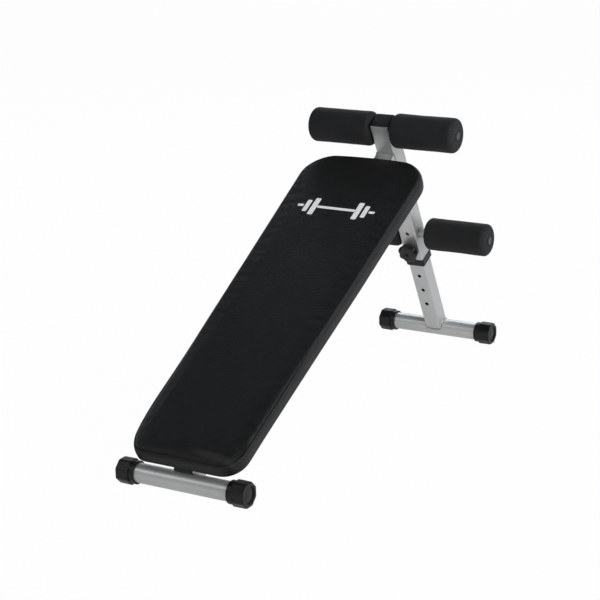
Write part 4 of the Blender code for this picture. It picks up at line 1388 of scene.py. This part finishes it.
def pad_cover():
    verts, faces, skin_end = cover_mesh()
    edge = edge_distance(verts[:, :2])
    top = slice(SKIN_START, skin_end)
    shoulder(verts, edge, skin_end)
    # the padding's low crown, which falls to the seam
    verts[top, 2] += 1.3 * (1 - np.exp(-np.maximum(edge[top] - SEAM_INSET - 3.0, 0.0) / 30.0))

    mesh = bpy.data.meshes.new("pad_cover")
    mesh.from_pydata([tuple(v * MM) for v in verts], [], faces)
    mesh.update()
    obj = bpy.data.objects.new("pad_cover", mesh)
    bpy.context.scene.collection.objects.link(obj)
    verts = relax(obj, verts, skin_end)

    # gathers and dents are laid on the relaxed skin
    verts[top, 2] += puckers(verts[top, 0], verts[top, 1], edge[top])
    pucker_sides(verts)
    settle(verts[:skin_end], edge[:skin_end])
    mesh.vertices.foreach_set("co", (verts * MM).astype(np.float32).ravel())
    mesh.update()
    tidy(mesh, merge=False)
    mesh.materials.append(VINYL)
    obj.matrix_world = BOARD
    sub = obj.modifiers.new("smooth", "SUBSURF")
    sub.levels = sub.render_levels = 1
    finish_piece(obj, "frame", "pad_cushion", sharp=75.0, weighted=False)


def staples():
    """Upholstery staples along the turned-under flap, as one mesh."""
    run, position = ruler(closed_up(EDGE_POINTS - EDGE_NORMALS * 22.0))
    total = run[-1]
    count = int(total / 27.0)
    # a flat wire: crown 11 mm, legs running up into the wood; along, up
    spine = np.array([(-5.5, 2.2), (-5.5, 0.3), (-5.2, -0.25), (-4.6, -0.4),
                      (4.6, -0.4), (5.2, -0.25), (5.5, 0.3), (5.5, 2.2)])
    section = ((0.55, 0.3), (-0.55, 0.3), (-0.55, -0.3), (0.55, -0.3))
    last = (len(spine) - 1) * 4
    one = bands(len(spine), 4) + [(3, 2, 1, 0), tuple(last + k for k in range(4))]
    verts, faces = [], []
    for q in range(count):
        at = (total * (q + 0.5) / count + 3.0 * math.sin(q * 2.4)) % total
        spot = position(at)
        ahead = position((at + 1) % total) - spot
        ahead /= max(1e-6, np.linalg.norm(ahead))
        tilt = 0.35 * math.sin(q * 1.7)
        cos, sin = math.cos(tilt), math.sin(tilt)
        along = np.array([ahead[0] * cos - ahead[1] * sin, ahead[0] * sin + ahead[1] * cos])
        across = np.array([along[1], -along[0]])
        base = len(verts)
        for i, point in enumerate(spine):
            run_on = spine[min(len(spine) - 1, i + 1)] - spine[max(0, i - 1)]
            run_on = run_on / np.linalg.norm(run_on)
            out = np.array([run_on[1], -run_on[0]])
            for wide, thick in section:
                reach, height = point + out * thick
                x, y = spot + along * reach + across * wide
                verts.append((x, y, COVER_UNDER + height - 0.15))
        faces += [tuple(base + k for k in face) for face in one]
    obj = raw_object("pad_staples", verts, faces, ZINC, BOARD)
    finish_piece(obj, "frame", sharp=40.0, weighted=False)


pad_cover()
staples()

# ================================================== brackets, bolts and washers
BRACKET_TOP = -PAD_T - 0.3
BRACKET_UNDER = BRACKET_TOP - BRACKET_T


def bracket(name, s):
    """A flat plate welded across the backbone, its edges and corners rounded."""
    low, high = BRACKET_UNDER, BRACKET_TOP
    path = ((0.5, low), (0.15, low + 0.15), (0.0, low + 0.5),
            (0.0, high - 0.5), (0.15, high - 0.15), (0.5, high))
    loops = [flat(drawn_in(BRACKET_LEN, BRACKET_WIDTH, 7.0, inset, steps=8), z)
             for inset, z in path]
    plate = solid(name + "_plate", loops, SILVER, BOARD @ shift(0, s, 0), replaces=name)
    drill(plate, [cutter([(3.5, low - 4), (3.5, high + 4)], BOARD @ shift(sx * BOLT_X, s, 0), 32)
                  for sx in (-1, 1)])
    # short beads where the plate's long edges cross the backbone's top
    for q, (sy, sx) in enumerate(((-1, -1), (-1, 1), (1, -1), (1, 1))):
        y = s + sy * (BRACKET_WIDTH / 2 + 0.5)
        path = [(sx * (4.0 + 2.0 * i), y, -BACK_TOP + 0.7) for i in range(9)]
        bead(f"{name}_weld_{q}", path, 1.5, BOARD, closed=False, seed=q + s)


def washer(tag, where):
    low, high = BRACKET_UNDER - 1.5, BRACKET_UNDER - 0.3
    profile = [(3.3, low + 0.05)] + fillet(
        [(3.3, low, 0), (6.2, low, 0.3), (6.2, high, 0.3), (3.3, high, 0)], 3)[1:]
    turned(f"pad_washer_{tag}_disc", profile, ZINC, where, replaces=f"pad_washer_{tag}",
           sides=48, ring=True)


def bolt(tag, where):
    """A hexagon head below the washer and a shank up through the plywood."""
    sides = 72
    head, shank_top = BRACKET_UNDER - 1.8, -PAD_T + PLY_T
    around = angles(sides)
    hex_r = 5.0 / np.cos((around + math.pi / 6) % (math.pi / 3) - math.pi / 6)
    # radius that trims the hexagon's corners, height
    hexes = ((4.7, head - 4.0), (5.2, head - 3.75), (5.9, head - 3.2), (5.9, head))
    loops = rings([(0.6, head - 3.7), (4.4, head - 4.0)], sides)
    loops += [flat(polar(np.minimum(hex_r, limit), around), z) for limit, z in hexes]
    loops += rings([(2.95, head), (2.95, shank_top - 0.5), (2.4, shank_top + 0.8)], sides)
    solid(f"pad_bolt_{tag}_hex", loops, ZINC, where, replaces=f"pad_bolt_{tag}", sharp=24.0)


for end, s in zip(("front", "rear"), BRACKET_S):
    bracket(f"pad_bracket_{end}", s)
    for side, sign in (("left", -1), ("right", 1)):
        spin = Matrix.Rotation(0.4 * sign + s * 0.01, 4, "Z")
        spot = BOARD @ shift(sign * BOLT_X, s, 0) @ spin
        washer(f"{end}_{side}", spot)
        bolt(f"{end}_{side}", spot)

# -------------------------------------------------- CAD nodes that stay visible
for node, mat in (
    ("pad_plywood", PLYWOOD),
    ("leg_guide_plug", PLASTIC),
    ("pad_t_nut_front_left", ZINC),
    ("pad_t_nut_front_right", ZINC),
    ("pad_t_nut_rear_left", ZINC),
    ("pad_t_nut_rear_right", ZINC),
):
    for slot in frame["nodes"][node].material_slots:
        slot.material = mat

# ============================================================= floor and lights
# metres from here on
FLOOR_HALF, FLOOR_Z = 14.0, -0.0004
# the floor's own glow in reflections and to all other rays
FLOOR_GLOW, FLOOR_GLOW_DIFFUSE = 0.42, 0.04
WHITE = (1, 1, 1, 1)


def mix_shader(tree, share, first, second):
    return add_node(tree, "MixShader", {0: share, 1: first, 2: second}).outputs[0]


def floor_paper():
    """White paper, seen from above only, so that the underside can be looked at too."""
    mat = bpy.data.materials.new("studio_floor_white")
    mat.use_nodes = True
    tree = mat.node_tree
    tree.nodes.clear()
    out = add_node(tree, "OutputMaterial")
    path = add_node(tree, "LightPath").outputs
    diffuse = add_node(tree, "BsdfDiffuse", {"Color": (0.74, 0.74, 0.74, 1)}).outputs[0]
    glow = add_node(tree, "Emission", {"Color": WHITE, "Strength": 1.0}).outputs[0]
    clear = add_node(tree, "BsdfTransparent").outputs[0]
    # the camera sees the white room through the paper, and so the rear foot
    # when the leg is let out below the level of the front one
    seen = mix_shader(tree, 0.98, diffuse, clear)
    # lit paper: what the bench sees of the floor is bright too
    share = add_node(tree, "Math", {
        0: path["Is Glossy Ray"], 1: FLOOR_GLOW - FLOOR_GLOW_DIFFUSE, 2: FLOOR_GLOW_DIFFUSE,
    }, operation="MULTIPLY_ADD").outputs[0]
    lit = mix_shader(tree, share, diffuse, glow)
    final = mix_shader(tree, path["Is Camera Ray"], lit, seen)
    below = add_node(tree, "NewGeometry").outputs["Backfacing"]
    tree.links.new(mix_shader(tree, below, final, clear), out.inputs[0])
    return mat


def studio_floor():
    mesh = bpy.data.meshes.new("studio_floor")
    corners = ((-1, -1), (1, -1), (1, 1), (-1, 1))
    mesh.from_pydata([(x * FLOOR_HALF, y * FLOOR_HALF, FLOOR_Z) for x, y in corners],
                     [], [(0, 1, 2, 3)])
    floor = bpy.data.objects.new("studio_floor", mesh)
    bpy.context.scene.collection.objects.link(floor)
    mesh.materials.append(floor_paper())


# the room's colour by height: position on the ramp, colour
ROOM_LOW, ROOM_HIGH = (0.0, (0.80, 0.81, 0.82, 1)), (0.95, (0.13, 0.135, 0.14, 1))
ROOM_BETWEEN = (
    (0.16, (0.84, 0.87, 0.89, 1)),
    (0.38, (0.385, 0.41, 0.425, 1)),
    (0.60, (0.14, 0.145, 0.15, 1)),
)
TOWARD_CAMERA = (0.487, -0.825, 0.287)


def studio_world():
    """White to the camera; a graded room to all other rays."""
    world = bpy.data.worlds.new("studio")
    bpy.context.scene.world = world
    world.use_nodes = True
    tree = world.node_tree
    tree.nodes.clear()
    out = add_node(tree, "OutputWorld")
    direction = add_node(tree, "TexCoord").outputs["Generated"]
    height = add_node(tree, "SeparateXYZ", {0: direction}).outputs["Z"]
    ramp = add_node(tree, "ValToRGB", {0: height})
    stops = ramp.color_ramp.elements
    for stop, (position, colour) in zip(stops, (ROOM_LOW, ROOM_HIGH)):
        stop.position = position
        stop.color = colour
    for position, colour in ROOM_BETWEEN:
        stops.new(position).color = colour
    # the room behind the camera is dim
    toward = add_node(tree, "VectorMath", {0: direction, 1: TOWARD_CAMERA},
                      operation="DOT_PRODUCT").outputs["Value"]
    dim = map_range(tree, toward, span=(0.25, 0.95), to=(0.82, 0.12), smooth=True)
    room = add_node(tree, "Background", {"Strength": dim, "Color": ramp.outputs[0]}).outputs[0]
    white = add_node(tree, "Background", {"Color": WHITE, "Strength": 1.0}).outputs[0]
    camera_ray = add_node(tree, "LightPath").outputs["Is Camera Ray"]
    tree.links.new(mix_shader(tree, camera_ray, room, white), out.inputs[0])


# name, location, target, size, power in watts, colour
SOFTBOXES = (
    ("key", (3.4, -1.2, 1.6), (0.0, 0.0, 0.3), (1.8, 1.6), 66.0, (1.0, 0.995, 0.98)),
    ("front", (1.2, -4.2, 1.2), (0.0, 0.0, 0.3), (2.2, 1.4), 5.0, (1.0, 0.995, 0.98)),
    ("fill", (-2.3, -2.7, 2.6), (0.0, -0.3, 0.2), (1.6, 1.3), 12.0, (0.97, 0.99, 1.0)),
    ("rim", (2.5, 1.3, 3.0), (0.0, 0.0, 0.3), (1.5, 1.5), 32.0, (0.92, 0.97, 1.0)),
    ("back", (-1.2, 3.4, 2.4), (0.0, 0.3, 0.4), (2.4, 1.4), 32.0, (0.84, 0.94, 1.0)),
)


def softbox(name, location, target, size, power, colour):
    light = bpy.data.lights.new(name, "AREA")
    light.shape = "RECTANGLE"
    light.size, light.size_y = size
    light.energy = power
    light.color = colour
    obj = bpy.data.objects.new(name, light)
    bpy.context.scene.collection.objects.link(obj)
    obj.location = location
    aim = Vector(target) - Vector(location)
    obj.rotation_euler = aim.to_track_quat("-Z", "Y").to_euler()


CAMERA_AT = (2.0671766, -3.6142267, 1.5196875)
CAMERA_TURN, CAMERA_DOWN, CAMERA_ROLL = 30.5518, 16.6698, -1.46377  # degrees
CAMERA_LENS, CAMERA_SENSOR = 107.8218, 36.0  # mm


def studio_camera():
    scene = bpy.context.scene
    cam = bpy.data.cameras.new("camera")
    obj = bpy.data.objects.new("camera", cam)
    scene.collection.objects.link(obj)
    turn, down, roll = map(math.radians, (CAMERA_TURN, CAMERA_DOWN, CAMERA_ROLL))
    right = np.array([math.cos(turn), math.sin(turn), 0.0])
    ahead = np.array([-math.sin(turn) * math.cos(down), math.cos(turn) * math.cos(down),
                      -math.sin(down)])
    up = np.cross(right, ahead)
    cos, sin = math.cos(roll), math.sin(roll)
    right, up = cos * right + sin * up, -sin * right + cos * up
    rows = list(zip(right, up, -ahead, CAMERA_AT))
    obj.matrix_world = Matrix(rows + [(0, 0, 0, 1)])
    cam.sensor_width = CAMERA_SENSOR
    cam.lens = CAMERA_LENS
    cam.clip_start, cam.clip_end = 0.05, 100.0
    scene.camera = obj
    scene.view_settings.view_transform = "Standard"
    scene.view_settings.look = "None"


studio_floor()
studio_world()
for box in SOFTBOXES:
    softbox(*box)
studio_camera()
